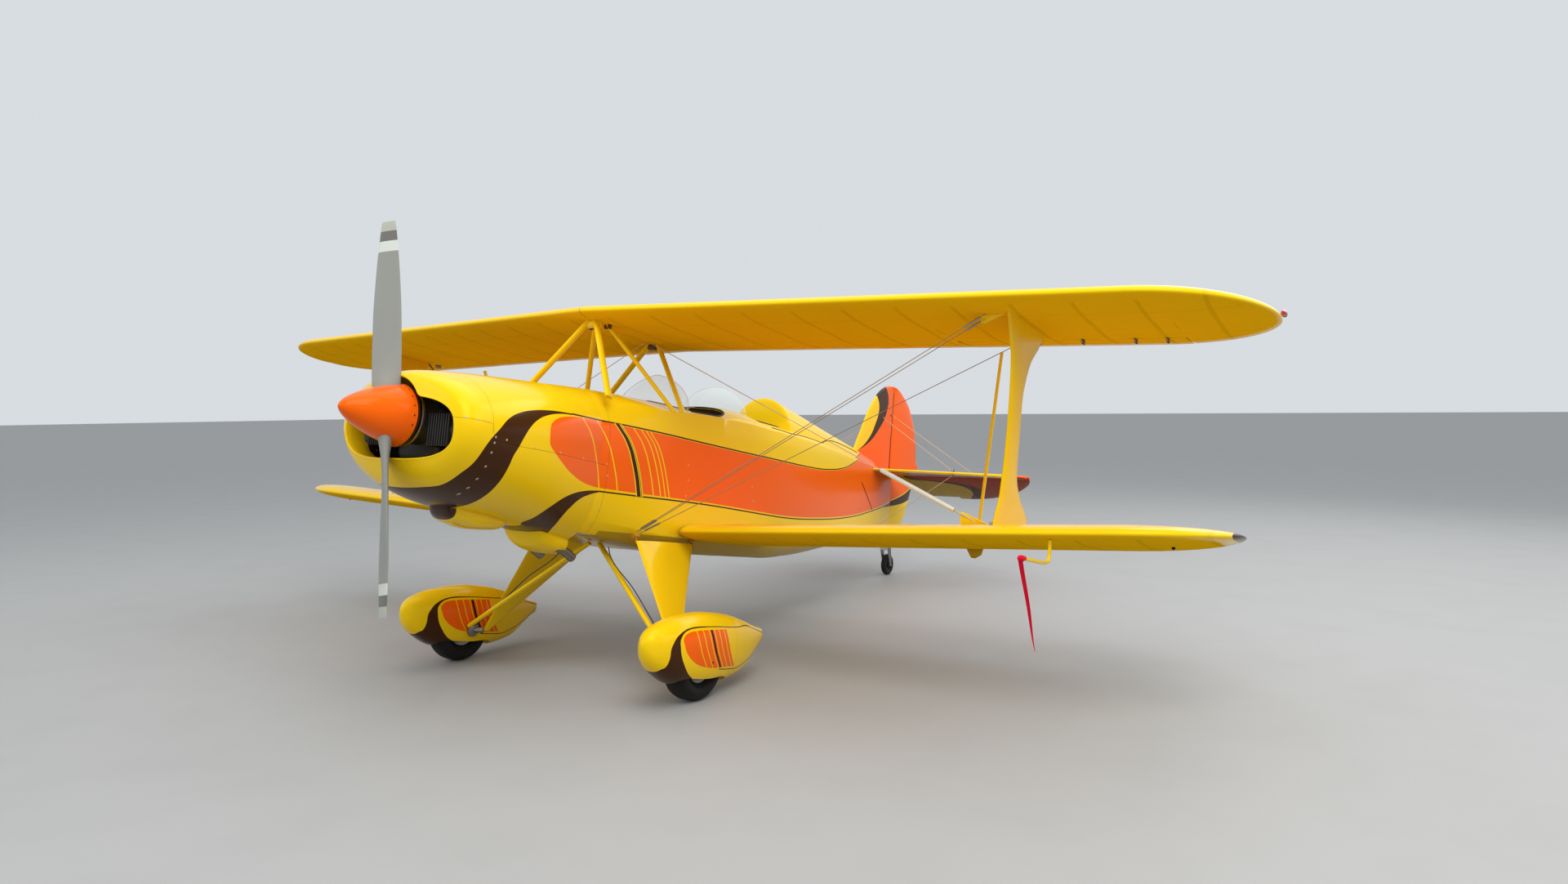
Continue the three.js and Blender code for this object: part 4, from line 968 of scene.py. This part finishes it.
def build_wing(name, wing, sign, node, material):
    low, high = wing["cut"]
    stations = list(np.linspace(wing["root"], low, 14)) + list(np.linspace(low, wing["tip_start"], 8)[1:])
    turns = np.radians(np.linspace(0, 89.2, 26)[1:])
    stations += [wing["tip_start"] + (wing["tip"] - wing["tip_start"]) * math.sin(a) for a in turns]
    stations += [wing["root"] + step for step in (30, 42, 55, 70, 90, 110, 135, 155)]
    rings = []
    for y in sorted(set(stations + [high])):
        end = hinge_line(wing, y)[0] - AILERON_GAP
        if y in (low, high):
            pair = [wing_ring(wing, y, sign), wing_ring(wing, y, sign, end)]
            rings += pair if y == low else pair[::-1]
        else:
            rings.append(wing_ring(wing, y, sign, end if low < y < high else None))
    add(name, skin(rings), material, node, sharp=50)


def build_aileron(name, wing, sign, body, node, material):
    low, high = wing["cut"]
    radius = float(half_thickness(HINGE)) * wing["chord"]
    middle = wing["tip_start"]
    rings = []
    inner, outer = low + AILERON_SIDE_GAP, high - AILERON_SIDE_GAP
    for y in [*np.linspace(inner, middle, 12), *np.linspace(middle, outer, 8)[1:]]:
        nose, chord, height = wing_plan(wing, y)
        s, z = hinge_line(wing, y)
        ring = []
        for k in range(13):
            angle = math.pi * k / 12
            ring.append((s - math.sin(angle) * radius, sign * y, z + math.cos(angle) * radius))
        end = nose + chord
        tail = height - wing["incidence"] * chord
        for t, up in ((0.5, -1), (1.0, -1), (1.0, 1), (0.5, 1)):
            ring.append((s + (end - s) * t, sign * y, z + (tail - z) * t + up * (radius * (1 - t) + 1.5)))
        rings.append(ring)
    add(name, skin(rings), material, node, body=body, sharp=50)


# Struts, stays and rods. The rod's ends stand this far behind the hinges and off the surfaces
ROD_BACK, ROD_OFF = 215, 40
STRUT = table(
    "z y front rear thick",
    (-330, 2345, 1950, 2530, 26), (-250, 2352, 1975, 2480, 28), (-150, 2362, 2005, 2320, 32),
    (-40, 2375, 2000, 2205, 34), (180, 2402, 1960, 2140, 34), (400, 2430, 1895, 2080, 34),
    (560, 2448, 1830, 2120, 32), (680, 2462, 1740, 2225, 28), (800, 2476, 1640, 2300, 26))
# Name, foot, head and chord
CABANES = [("cabane_front", (1180, 340, 262), (1385, 16, 775), 50),
           ("cabane_rear", (1870, 348, 268), (1975, 16, 765), 50),
           ("cabane_diagonal", (1775, 348, 268), (1450, 40, 765), 36)]
# Name, foot, (station, y) of the head under the upper wing, and where the wires of one stay stand
FLYING_WIRES = [
    ("flying_wire_front", (1488, 388, -472), (1725, 2350), (-1, 1)),
    ("flying_wire_rear", (1512, 388, -480), (2205, 2434), (0,)),
]


def build_struts(side, sign):
    rings = [[((row["front"] + row["rear"]) / 2 + a, sign * row["y"] + b, row["z"])
              for a, b in oval((row["rear"] - row["front"]) / 2, row["thick"] / 2, 1, 0.7, 28)]
             for row in eased(STRUT, "z", 50)]
    add(f"strut_{side}", skin(rings), PLAIN_YELLOW, f"interplane_strut_{side}")
    for name, foot, head, chord in CABANES:
        foot, head = (foot[0], sign * (foot[1] + 14), foot[2]), (head[0], sign * head[1], head[2])
        add(f"{name}_fairing_{side}", faired(foot, head, chord, 22), PLAIN_YELLOW, f"{name}_{side}")


def build_stays(side, sign):
    for name, low, high, places in FLYING_WIRES:
        low = Vector((low[0], sign * low[1], low[2]))
        high = Vector((high[0], sign * high[1], wing_height(UPPER, *high, -1) + 2))
        wires, barrels = [], []
        for place in places:
            a, b = low + Vector((place * 8, 0, 0)), high + Vector((place * 26, 0, 0))
            along = (b - a).normalized()
            wires.append(tube([a, b], 2.1, 8))
            for end in (a + along * 30, b - along * 140):
                barrel = [end + along * far for far in (0, 12, 98, 110)]
                barrels.append(tube(barrel, [3, 6, 6, 3], 10))
        add(f"{name}_stay_{side}", merged(wires), WIRE, f"{name}_{side}", slot="wire_steel")
        add(f"{name}_barrels_{side}", merged(barrels), STEEL, slot="bare_steel")
    top = Vector((1900, sign * 20, wing_height(UPPER, 1900, 20, -1)))
    foot = Vector((2090, sign * 2235, wing_height(LOWER, 2090, 2235, 1)))
    band_start, band_end = top.lerp(foot, 0.735), top.lerp(foot, 0.931)
    stay = merged([tube([top, band_start], 2.4, 8), tube([band_end, foot], 5, 10)])
    add(f"landing_stay_{side}", stay, PALE_WIRE, f"landing_wire_{side}", slot="wire_steel")
    add(f"landing_stay_band_{side}", tube([band_start, band_end], 13, 20), PALE_METAL, slot="bare_steel")
    low = [(2118, -243), (2126, -240)] + [(y, wing_height(LOWER, 2090, y, 1) - 3) for y in (2290, 2118)]
    add(f"stay_fairing_low_{side}", wedge(low, 2090, 7, sign), PLAIN_YELLOW)
    under = [(y, wing_height(UPPER, 1725, y, -1) + 4) for y in (2440, 2305)]
    under += [(2316, under[1][1] - 40), (2336, under[1][1] - 44)]
    add(f"stay_fairing_high_{side}", wedge(under, 1725, 6, sign), PLAIN_YELLOW)


def build_wing_fittings(side, sign):
    belly = wing_height(LOWER, 2620, 2000, -1)
    crank = [(1950, belly + 4), (2058, belly + 6), (2046, belly - 34), (2010, belly - 56), (1985, belly - 54)]
    add(f"bellcrank_{side}", wedge(crank, 2620, 6, sign), DULL_YELLOW)
    add(f"strut_bolt_{side}", block(1941, sign * 2345, -307, 9, 7, 15, 3), STEEL, slot="bare_steel")
    eye = (2205, sign * 3199, wing_height(LOWER, 2205, 3199, -1) - 6)
    ring = lathe([(1, -9), (8, -6), (10, 0), (8, 5), (4, 12)], 20, "z", eye)
    add(f"tie_down_{side}", ring, LEATHER, slot=None)
    brackets = []
    for y in (2434, 2668, 2940, 3100):
        s, z = hinge_line(UPPER, y)
        brackets.append(block(s - 35, sign * y, z - 46, 27, 5, 12, 4))
    add(f"hinge_brackets_{side}", merged(brackets), STEEL, slot="bare_steel")
    ends = []
    for wing, y, down in ((LOWER, 1925, 1), (UPPER, 2143, -1)):
        s, z = hinge_line(wing, y)
        ends.append(Vector((s + ROD_BACK, sign * y, z - wing["incidence"] * ROD_BACK + down * ROD_OFF)))
    add(f"aileron_link_{side}", faired(*ends, 34, 16), PLAIN_YELLOW, f"slave_rod_{side}", body=f"rod_{side}")


def build_cabane_heads():
    for name, s, half_s, half_y, material in (("front", 1389, 27, 48, PLAIN_YELLOW),
                                              ("rear", 1972, 24, 34, DARK_BRACKET)):
        top = wing_height(UPPER, s, 20, -1)
        add(f"cabane_head_{name}", block(s, 0, top - 11, half_s, half_y, 23, 9), material)
    top = wing_height(UPPER, 1450, 40, -1)
    clips = [block(1451, y, top - 8, 11, 9, 18, 4) for y in (-72, -44, 44, 72)]
    add("cabane_clips", merged(clips), DARK_BRACKET)


def build_tip_light(side, sign):
    """The coloured lamp on the upper wing's tip, with its grey tail."""
    colour = (0.45, 0.01, 0.008) if sign > 0 else (0.01, 0.25, 0.05)
    lens = Finish(f"lamp_{side}", colour, roughness=0.1, coat=1.0).done(0.05, 0.01, 0.03)
    for name, profile, material in (("tip_lamp", [(1, -34), (9, -30), (14, -16), (15, 0), (14, 12)], lens),
                                    ("tip_lamp_tail", [(15, 12), (13, 30), (8, 52), (1, 74)], CAST)):
        add(f"{name}_{side}", lathe(profile, 24, "s", (2250, sign * 3664, 806)), material)


# Landing gear. The pant is described from the axle, and its paint as the hull's
AXLE = (1407.9, 912.8, -1148.1)
PANT = table(
    "s top low width",
    (-448, 128, 88, 14), (-415, 170, 22, 54), (-335, 210, -44, 92), (-190, 247, -106, 120),
    (20, 268, -126, 130), (220, 256, -108, 122), (400, 222, -66, 96), (520, 190, 12, 66), (600, 172, 66, 42),
    (640, 165, 82, 27), (652, 158, 90, 18))
BAND_FRONT = [(-120, -363), (-15, -355), (0, -339), (43, -330), (92, -327), (124, -311), (152, -286),
              (168, -261), (183, -229)]
BAND_REAR = [(-130, -50), (-74, -114), (-39, -177), (6, -224), (57, -256), (99, -266), (131, -267),
             (155, -252), (171, -232)]
BAND_TOP = [(-261, 168), (-229, 183), (-184, 195), (-115, 202), (-15, 202), (285, 193), (360, 196),
            (461, 178), (620, 146)]
BAND_BELOW = [(-267, 131), (-252, 155), (-232, 171), (-202, 183), (-154, 192), (-86, 196), (-15, 197),
              (285, 188), (360, 191), (461, 173), (620, 140)]
PANEL_FRONT = [(-19, 40), (-8, -65), (5, -118), (29, -170), (56, -206), (81, -227), (110, -239), (139, -245),
               (163, -223), (175, -186), (180, -145), (184, -22)]
PANT_BEND = [(-29, 96), (-7, 79), (45, 38), (83, 17), (135, -2), (188, -14)]
PANT_LINE = [(79, -28), (210, -34), (262, -34), (354, -11), (488, 44), (640, 122)]
PANT_THIN = (-124, -72, -22, 25, 68, 115)
# Radius and share of the half width, from the bead to the tread
TYRE = [(100, 0.5), (118, 0.62), (132, 0.86), (150, 1), (172, 0.97), (190, 0.74), (198, 0.45), (200, 0.2)]
TYRE_HALF = 75


def pant_material():
    finish = Finish("pant_paint", YELLOW, roughness=0.2, coat=0.1)
    s, z = finish.s, finish.z
    side = s.above(z.curve(BAND_FRONT)) * s.below(z.curve(BAND_REAR)) * z.below(172)
    top = s.above(-262) * z.below(s.curve(BAND_TOP)) * z.above(s.curve(BAND_BELOW))
    finish.paint(side.max(top), BROWN)
    bend = s - z.curve(PANT_BEND)
    panel = s.above(z.curve(PANEL_FRONT)) * z.between(-19, 183.5) * bend.below(142)
    finish.paint(panel, ORANGE)
    for station in PANT_THIN:
        finish.paint(panel * bend.between(station - 3.5, station + 3.5), YELLOW)
    finish.paint(panel * bend.between(-9, 9), BLACK)
    line = s.curve(PANT_LINE)
    finish.paint(z.between(line - 2.5, line + 2.5) * s.above(79), BROWN)
    finish.paint(z.below(s.curve([(row["s"], row["low"] + 10) for row in PANT])) * s.above(250, 30), BROWN)
    finish.paint(finish.spot(6, 12, 7), BROWN)
    seam = (s - 232).abs().below(1.6, 0.8)
    finish.shade(seam, 0.25)
    finish.raise_by(seam * -0.8)
    return finish.done(mottle=0.05, grain=0.015, spread=0.06)


PANT_PAINT = pant_material()


def build_wheel(side, sign):
    at_hub = LEVEL @ Matrix.Translation((-AXLE[0] * MM, sign * AXLE[1] * MM, AXLE[2] * MM))
    shell = skin(oval_rings(eased(PANT, "s", 60), 0.85, 48))
    pant = mesh_object(f"pant_{side}", *shell, PANT_PAINT, sharp=60)
    cut(pant, *skin([[(s, y, z) for s, y in oval(225, 96, 0.6, 0.4, 48)] for z in (-300, 120)]))
    put(pant, f"wheel_pant_{side}", matrix=at_hub)
    turning = dict(body=f"wheel_{side}", matrix=at_hub)
    inner = [(r, -share * TYRE_HALF) for r, share in TYRE]
    tyre = inner[1:] + [(r, -y) for r, y in inner[::-1]] + inner[:2]
    add(f"tyre_{side}", lathe(tyre, 96, "y"), RUBBER, f"main_wheel_{side}",
        slot="tyre_rubber", sharp=60, **turning)
    disc = [(20, -40), (60, -38), (104, -44), (106, -30), (106, 30), (104, 44), (60, 38), (20, 40)]
    add(f"wheel_disc_{side}", lathe(disc, 64, "y"), STEEL, slot="bare_steel", **turning)


def build_gear(side, sign):
    leg = []
    for t in np.linspace(0.05, 1, 14):
        front, rear, y, z = (a + (b - a) * t for a, b in (
            (1486, AXLE[0] + 56), (2060, AXLE[0] + 98), (368, 748), (-494, AXLE[2])))
        leg.append([((front + rear) / 2 + a, sign * (y + out * 0.86), z + out * 0.5)
                    for a, out in oval((rear - front) / 2, 13, 0.9, 0.8, 24)])
    add(f"gear_plate_{side}", skin(leg), PLAIN_YELLOW, f"gear_leg_{side}")
    lugs = []
    for s in (1500, 2040):
        lugs.append(tube([(s - 22, sign * 368, -500), (s + 22, sign * 368, -500)], 15, 14))
        lugs.append(tube([(s, sign * 368, -500), (s, sign * 382, -545)], 9, 10))
    add(f"gear_lugs_{side}", merged(lugs), LUG_PAINT)
    brace = faired((1575, sign * 40, -560), (AXLE[0] - 40, sign * 772, AXLE[2] + 24), 44, 24)
    add(f"gear_brace_{side}", brace, PLAIN_YELLOW, f"brace_strut_{side}")
    axle = [(AXLE[0] + ahead, sign * y, AXLE[2]) for ahead, y in ((40, 735), (0, 790), (0, 985))]
    add(f"axle_{side}", tube(axle, 17, 16), STEEL, slot="bare_steel")
    plate = [(1, 772), (34, 772), (42, 775), (42, 786), (1, 786)]
    points, faces = lathe(plate, 40, "y", (AXLE[0], 0, AXLE[2]))
    add(f"brake_plate_{side}", (mirrored(points, sign), faces), STEEL, slot="bare_steel")
    hose = smooth_path([(1500, 174, -575), (1496, 190, -612), (1462, 420, -800), (1424, 700, -1062),
                        (AXLE[0] + 8, 762, -1112), (AXLE[0], 774, -1122)], 40)
    add(f"brake_line_{side}", tube(mirrored(hose, sign), 3.2, 8), HOSE, slot=None)


# Tail
FIN = table(
    "z front",
    (262, 4960), (330, 4840), (390, 4812), (450, 4840), (540, 4900), (700, 4998), (850, 5110), (950, 5215),
    (1020, 5330), (1050, 5420), (1058, 5500))
RUDDER = table(
    "z rear",
    (-300, 5660), (-290, 5740), (-230, 5820), (-160, 5892), (-20, 5968), (130, 6040), (250, 6110),
    (380, 6165), (410, 6122), (550, 6098), (700, 6044), (830, 5965), (930, 5872), (1005, 5740), (1045, 5640),
    (1056, 5570))
TAIL_Z, TAIL_HINGE, DROOP = 235, 5500, math.radians(25)
STABILIZER = table(
    "y front",
    (30, 4925), (400, 5035), (800, 5155), (1050, 5235), (1200, 5300), (1290, 5370), (1335, 5440),
    (1345, 5468))
ELEVATOR = table(
    "y rear",
    (50, 5560), (130, 5650), (210, 5820), (300, 5868), (597, 5874), (604, 5902), (733, 5900), (828, 5888),
    (911, 5870), (1040, 5822), (1166, 5757), (1232, 5702), (1291, 5641), (1335, 5580), (1352, 5530))
FIN_END, RUDDER_START = 5526, 5541
# The yellow shape on the elevator, as (distance behind the hinge, outer edge) pairs, and its dark rim
DROP = [(-300, 40), (-150, 90), (0, 165), (51, 217), (66, 339), (88, 503), (131, 658), (179, 731), (262, 759),
        (351, 719), (400, 690)]
DROP_RIM = [(-300, 55), (-150, 105), (0, 190), (40, 300), (58, 420), (78, 600), (105, 715), (188, 850),
            (262, 855), (371, 791), (400, 770)]
# From fin to stabilizer, and from stabilizer to the hull's underside
TAIL_WIRES = [(5328, 17, 736, 5178, 785, 252), (5494, 17, 790, 5415, 880, 252),
              (5178, 785, 218, 5200, 72, -262)]
HULL_LACING = [(4680, 169, 97), (4827, 149, 3), (5006, 123, -126)]


def plate_ring(front, rear, thick, place):
    """A rounded-edge plate's section. place turns its station and height into a point."""
    return [place((front + rear) / 2 + s, h) for s, h in oval((rear - front) / 2, thick / 2, 1, 0.55, 32)]


def tail_material():
    finish = Finish("tail_paint", YELLOW, roughness=0.26, coat=0.06)
    s, y, z = finish.s, finish.y.abs(), finish.z
    front = y.curve([(row["y"], row["front"]) for row in STABILIZER])
    panel = (s - front).above(46).max(y.above(1280))
    back = (s - TAIL_HINGE) * math.cos(DROOP) - (z - TAIL_Z) * math.sin(DROOP)
    height = (s - TAIL_HINGE) * math.sin(DROOP) + (z - TAIL_Z) * math.cos(DROOP)
    behind = s.above(TAIL_HINGE - 18)
    under = (height.below(-1.5) * behind).max((z - TAIL_Z).below(-1.5) * behind.inverse())
    drop = y.below(back.curve(DROP)) * (s - front).above(46)
    rim = y.below(back.curve(DROP_RIM)) * (s - front).above(46)
    finish.paint(panel, ORANGE)
    # Painted shade: the orange undersides take a darker orange
    finish.paint(panel * under, SHADED_ORANGE)
    finish.paint(rim, BROWN)
    finish.paint(drop, YELLOW)
    # Painted shade: the yellow drop's underside takes a darker yellow
    finish.paint(drop * under, SHADED_YELLOW)
    ribs = (y.mod(220) - 110).abs()
    finish.raise_by(ribs.below(14, 10) * 1.0)
    finish.shade(ribs.below(7, 2), 0.08)
    return finish.done(mottle=0.08, grain=0.03, spread=0.08)


def build_fin():
    fin = [plate_ring(row["front"], FIN_END, 34, lambda s, y: (s, y, row["z"]))
           for row in eased(FIN, "z", 44)]
    add("fin_skin", skin(fin), HULL_PAINT, "fin")
    rudder = [plate_ring(RUDDER_START, row["rear"], 28, lambda s, y: (s, y, row["z"]))
              for row in eased(RUDDER, "z", 60)]
    add("rudder_skin", skin(rudder), HULL_PAINT, "rudder", body="rudder_body")
    add("rudder_hinge_rod", tube([(5533, 0, -215), (5533, 0, 1000)], 6, 12), DARK, slot=None)


def drooped(s, h, y):
    back = s - TAIL_HINGE
    return (TAIL_HINGE + back * math.cos(DROOP) + h * math.sin(DROOP), y,
            TAIL_Z - back * math.sin(DROOP) + h * math.cos(DROOP))


def build_tail():
    build_fin()
    material = tail_material()
    for side, sign in SIDES:
        rings = [plate_ring(row["front"], TAIL_HINGE - 20, 34, lambda s, h: (s, sign * row["y"], TAIL_Z + h))
                 for row in eased(STABILIZER, "y", 40)]
        add(f"stabilizer_skin_{side}", skin(rings), material, f"stabilizer_{side}", slot="orange_paint")
        wires = [tube([(a, sign * b, c), (d, sign * e, f)], 2.2, 8) for a, b, c, d, e, f in TAIL_WIRES]
        add(f"tail_wires_{side}", merged(wires), PALE_WIRE, slot="wire_steel")
        lugs = [block(5178, sign * 785, 245, 18, 6, 31, 4)]
        lugs += [block(s, sign * 19, z, 14, 4, 10, 3) for s, z in ((5328, 736), (5494, 790))]
        add(f"tail_lugs_{side}", merged(lugs), STEEL, slot="bare_steel")
        crease = mirrored(smooth_path(HULL_LACING, 14), sign)
        add(f"hull_lacing_{side}", tube(crease, 2.6, 8), DARK, slot=None)
    parts = [skin([plate_ring(TAIL_HINGE - 15, row["rear"], 30, lambda s, h: drooped(s, h, sign * row["y"]))
                   for row in eased(ELEVATOR, "y", 44)]) for _, sign in SIDES]
    parts.append(tube([(TAIL_HINGE, -60, TAIL_Z), (TAIL_HINGE, 60, TAIL_Z)], 12))
    add("elevator_skin", merged(parts), material, "elevator", body="elevator_body", slot="orange_paint")


# Underside
SCOOP = table(
    "s width top low",
    (372, 30, -385, -430), (378, 72, -380, -462), (450, 112, -385, -503), (580, 122, -400, -526),
    (690, 108, -420, -524), (765, 82, -440, -508), (770, 60, -450, -500))
OUTLET = table(
    "s width top low",
    (956, 110, -440, -505), (960, 140, -430, -525), (1010, 155, -430, -600), (1110, 168, -480, -630),
    (1162, 166, -490, -634))


def build_underside():
    finish = Finish("scoop_paint", YELLOW, roughness=0.18, coat=0.5)
    finish.paint(finish.s.below(405), BROWN)
    paint = finish.done(0.06, 0.02, 0.06)
    add("scoop", skin(oval_rings(eased(SCOOP, "s", 30), 0.8, 40)), paint, "chin_scoop")
    add("outlet", skin(oval_rings(eased(OUTLET, "s", 24), 0.8, 40)), PLAIN_YELLOW, "cooling_outlet", sharp=50)
    for side, sign in SIDES:
        path = [(s, sign * 120, z) for s, z in ((1120, -590), (1175, -606), (1215, -625), (1258, -648))]
        add(f"exhaust_pipe_{side}", tube(path, 26, 24), STEEL, f"exhaust_{side}", slot="bare_steel")


GLASS_THICKNESS = 0.003
GLASS_BULGE = 16
# Windscreens: foot at the middle, top at the middle, sides, half width, height and bluntness
SCREENS = [("front", 1762, 2030, 2000, 300, 549, 1.35), ("rear", 2440, 2670, 2680, 280, 577, 1.1)]


def build_screens():
    for name, front, middle, rear, half, top, blunt in SCREENS:
        low, high = [], []
        for k in range(41):
            turn = math.pi * (k / 40 - 0.5)
            y, reach = half * math.sin(turn), math.cos(turn)
            s = rear - (rear - front) * (1 - (abs(y) / half) ** blunt)
            low.append(Vector((s, y, hull_top(s, y) - 2)))
            rise = (top - hull_top(rear, 0)) * reach ** 0.85
            high.append(Vector((rear - (rear - middle) * reach, y * 0.98, hull_top(rear, y) + rise)))
        rings = []
        for t in np.linspace(0, 1, 14):
            bulge = math.sin(math.pi * t) * GLASS_BULGE
            points = [a.lerp(b, t) for a, b in zip(low, high)]
            rings.append([(p.x - bulge, p.y, p.z + bulge * 0.6) for p in points])
        glass = mesh_object(f"screen_{name}", *skin(rings, False, (False, False)), CLEAR)
        thick = glass.modifiers.new("thickness", "SOLIDIFY")
        thick.thickness = GLASS_THICKNESS
        thick.offset = 0
        put(glass, f"windscreen_{name}", slot="clear_screen")
        add(f"screen_rim_{name}", tube([tuple(p) for p in high], 1.6, 8), CREAM_TRIM, slot=None)
        rings = []
        for p in low:
            away = Vector((p.x - rear - 40, p.y, 0)).normalized()
            ring = []
            for reach, lift in ((-4, -1), (-4, 3), (8, 4), (20, 3), (20, -1)):
                q = p + away * reach
                ring.append((q.x, q.y, hull_top(q.x, min(abs(q.y), 368)) + lift))
            rings.append(ring)
        add(f"screen_base_{name}", skin(rings), CREAM_TRIM, sharp=60, slot=None)


PITOT_Y = 2680


def build_pitot_cover():
    """A red cloth cover on the tube's end, with a ribbon that hangs from it."""
    cloth = Finish("ribbon_red", (0.70, 0.008, 0.03), roughness=0.75)
    weave = (cloth.z * 3.2).math("SINE") * (cloth.s * 3.2 + cloth.y * 3.2).math("SINE")
    cloth.raise_by(weave * 0.12)
    red = cloth.done(0.25, 0.05, 0.1)
    rows = [(1426, -473, 4), (1430, -473, 11), (1440, -472, 15), (1458, -472, 16), (1480, -471, 13),
            (1498, -470, 11)]
    cover = tube([(s, PITOT_Y, z) for s, z, _ in rows], [row[2] for row in rows], 20)
    add("pitot_cover", cover, red, slot=None)
    points, faces = [], []
    steps = 48
    top, foot = Vector((1444, PITOT_Y, -484)), Vector((1748, PITOT_Y, -910))
    for i in range(steps + 1):
        t = i / steps
        middle = top.lerp(foot, t) + Vector((0, 9 * math.sin(5 * t) * t, 0))
        middle += Vector((math.sin(math.pi * t) * -14, 0, 0))
        half = 11 - 5 * t
        turn = 0.5 + 1.1 * t
        across = Vector((math.sin(turn) * 0.4, math.cos(turn), 0)).normalized()
        points += [tuple(middle + across * half * k) for k in (-1, -0.33, 0.33, 1)]
    for i in range(steps):
        faces += [(i * 4 + k, i * 4 + k + 1, i * 4 + k + 5, i * 4 + k + 4) for k in range(3)]
    ribbon = mesh_object("pitot_ribbon", points, faces, red)
    put(ribbon, slot=None)


def finish_nodes():
    """The CAD nodes that are shown as they are."""
    for name, material in (("seat_front", LEATHER), ("seat_rear", LEATHER), ("tail_spring", STEEL),
                           ("tail_fork", STEEL), ("tail_wheel", RUBBER), ("pitot_mast", PLAIN_YELLOW)):
        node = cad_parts[name]
        node.data.materials.clear()
        node.data.materials.append(material)


def build_all():
    paints = [(level, wing, wing_material(f"{level}_wing_fabric", wing))
              for level, wing in (("upper", UPPER), ("lower", LOWER))]
    build_hull()
    build_deck()
    build_cowl()
    build_engine()
    build_propeller()
    for side, sign in SIDES:
        for level, wing, paint in paints:
            build_wing(f"{level}_panel_{side}", wing, sign, f"{level}_wing_{side}", paint)
            build_aileron(f"aileron_skin_{level}_{side}", wing, sign, f"aileron_{level}_{side}",
                          f"{level}_aileron_{side}", paint)
        build_tip_light(side, sign)
        build_struts(side, sign)
        build_stays(side, sign)
        build_wing_fittings(side, sign)
        build_wheel(side, sign)
        build_gear(side, sign)
    build_tail()
    build_underside()
    build_cabane_heads()
    build_screens()
    build_pitot_cover()
    finish_nodes()


# Floor and light
FLOOR_REACH = 150000
# Name, place, size, power and colour
LAMPS = [("key", (6, 6, 9), 7, 700, (1, 0.98, 0.94)), ("fill", (9, -6, 6), 8, 260, (0.92, 0.96, 1)),
         ("top", (0, 0, 10), 10, 260, (1, 1, 1)), ("back", (-8, 4, 7), 7, 220, (1, 1, 1)),
         ("side", (-3, 10, 6), 7, 260, (1, 1, 1))]
LAMP_TARGET = Vector((0, 0, 0.8))


def build_stage():
    finish = Finish("floor_grey", (0.37, 0.37, 0.365), roughness=0.6)
    corners = [(a * FLOOR_REACH, b * FLOOR_REACH, 0) for a, b in ((-1, -1), (1, -1), (1, 1), (-1, 1))]
    floor = mesh_object("floor", corners, [(0, 1, 2, 3)], finish.done(0.06, 0.0, 0.05))
    world = bpy.data.worlds.new("studio")
    world.use_nodes = True
    background = world.node_tree.nodes["Background"]
    background.inputs["Color"].default_value = (0.86, 0.90, 0.94, 1)
    background.inputs["Strength"].default_value = 0.80
    bpy.context.scene.world = world
    bpy.context.scene.view_settings.view_transform = "Standard"
    for name, place, size, power, colour in LAMPS:
        data = bpy.data.lights.new(name, "AREA")
        data.size = size
        data.energy = power
        data.color = colour
        lamp = bpy.data.objects.new(name, data)
        bpy.context.scene.collection.objects.link(lamp)
        lamp.location = place
        lamp.rotation_euler = (LAMP_TARGET - Vector(place)).to_track_quat("-Z", "Y").to_euler()


build_all()
build_stage()
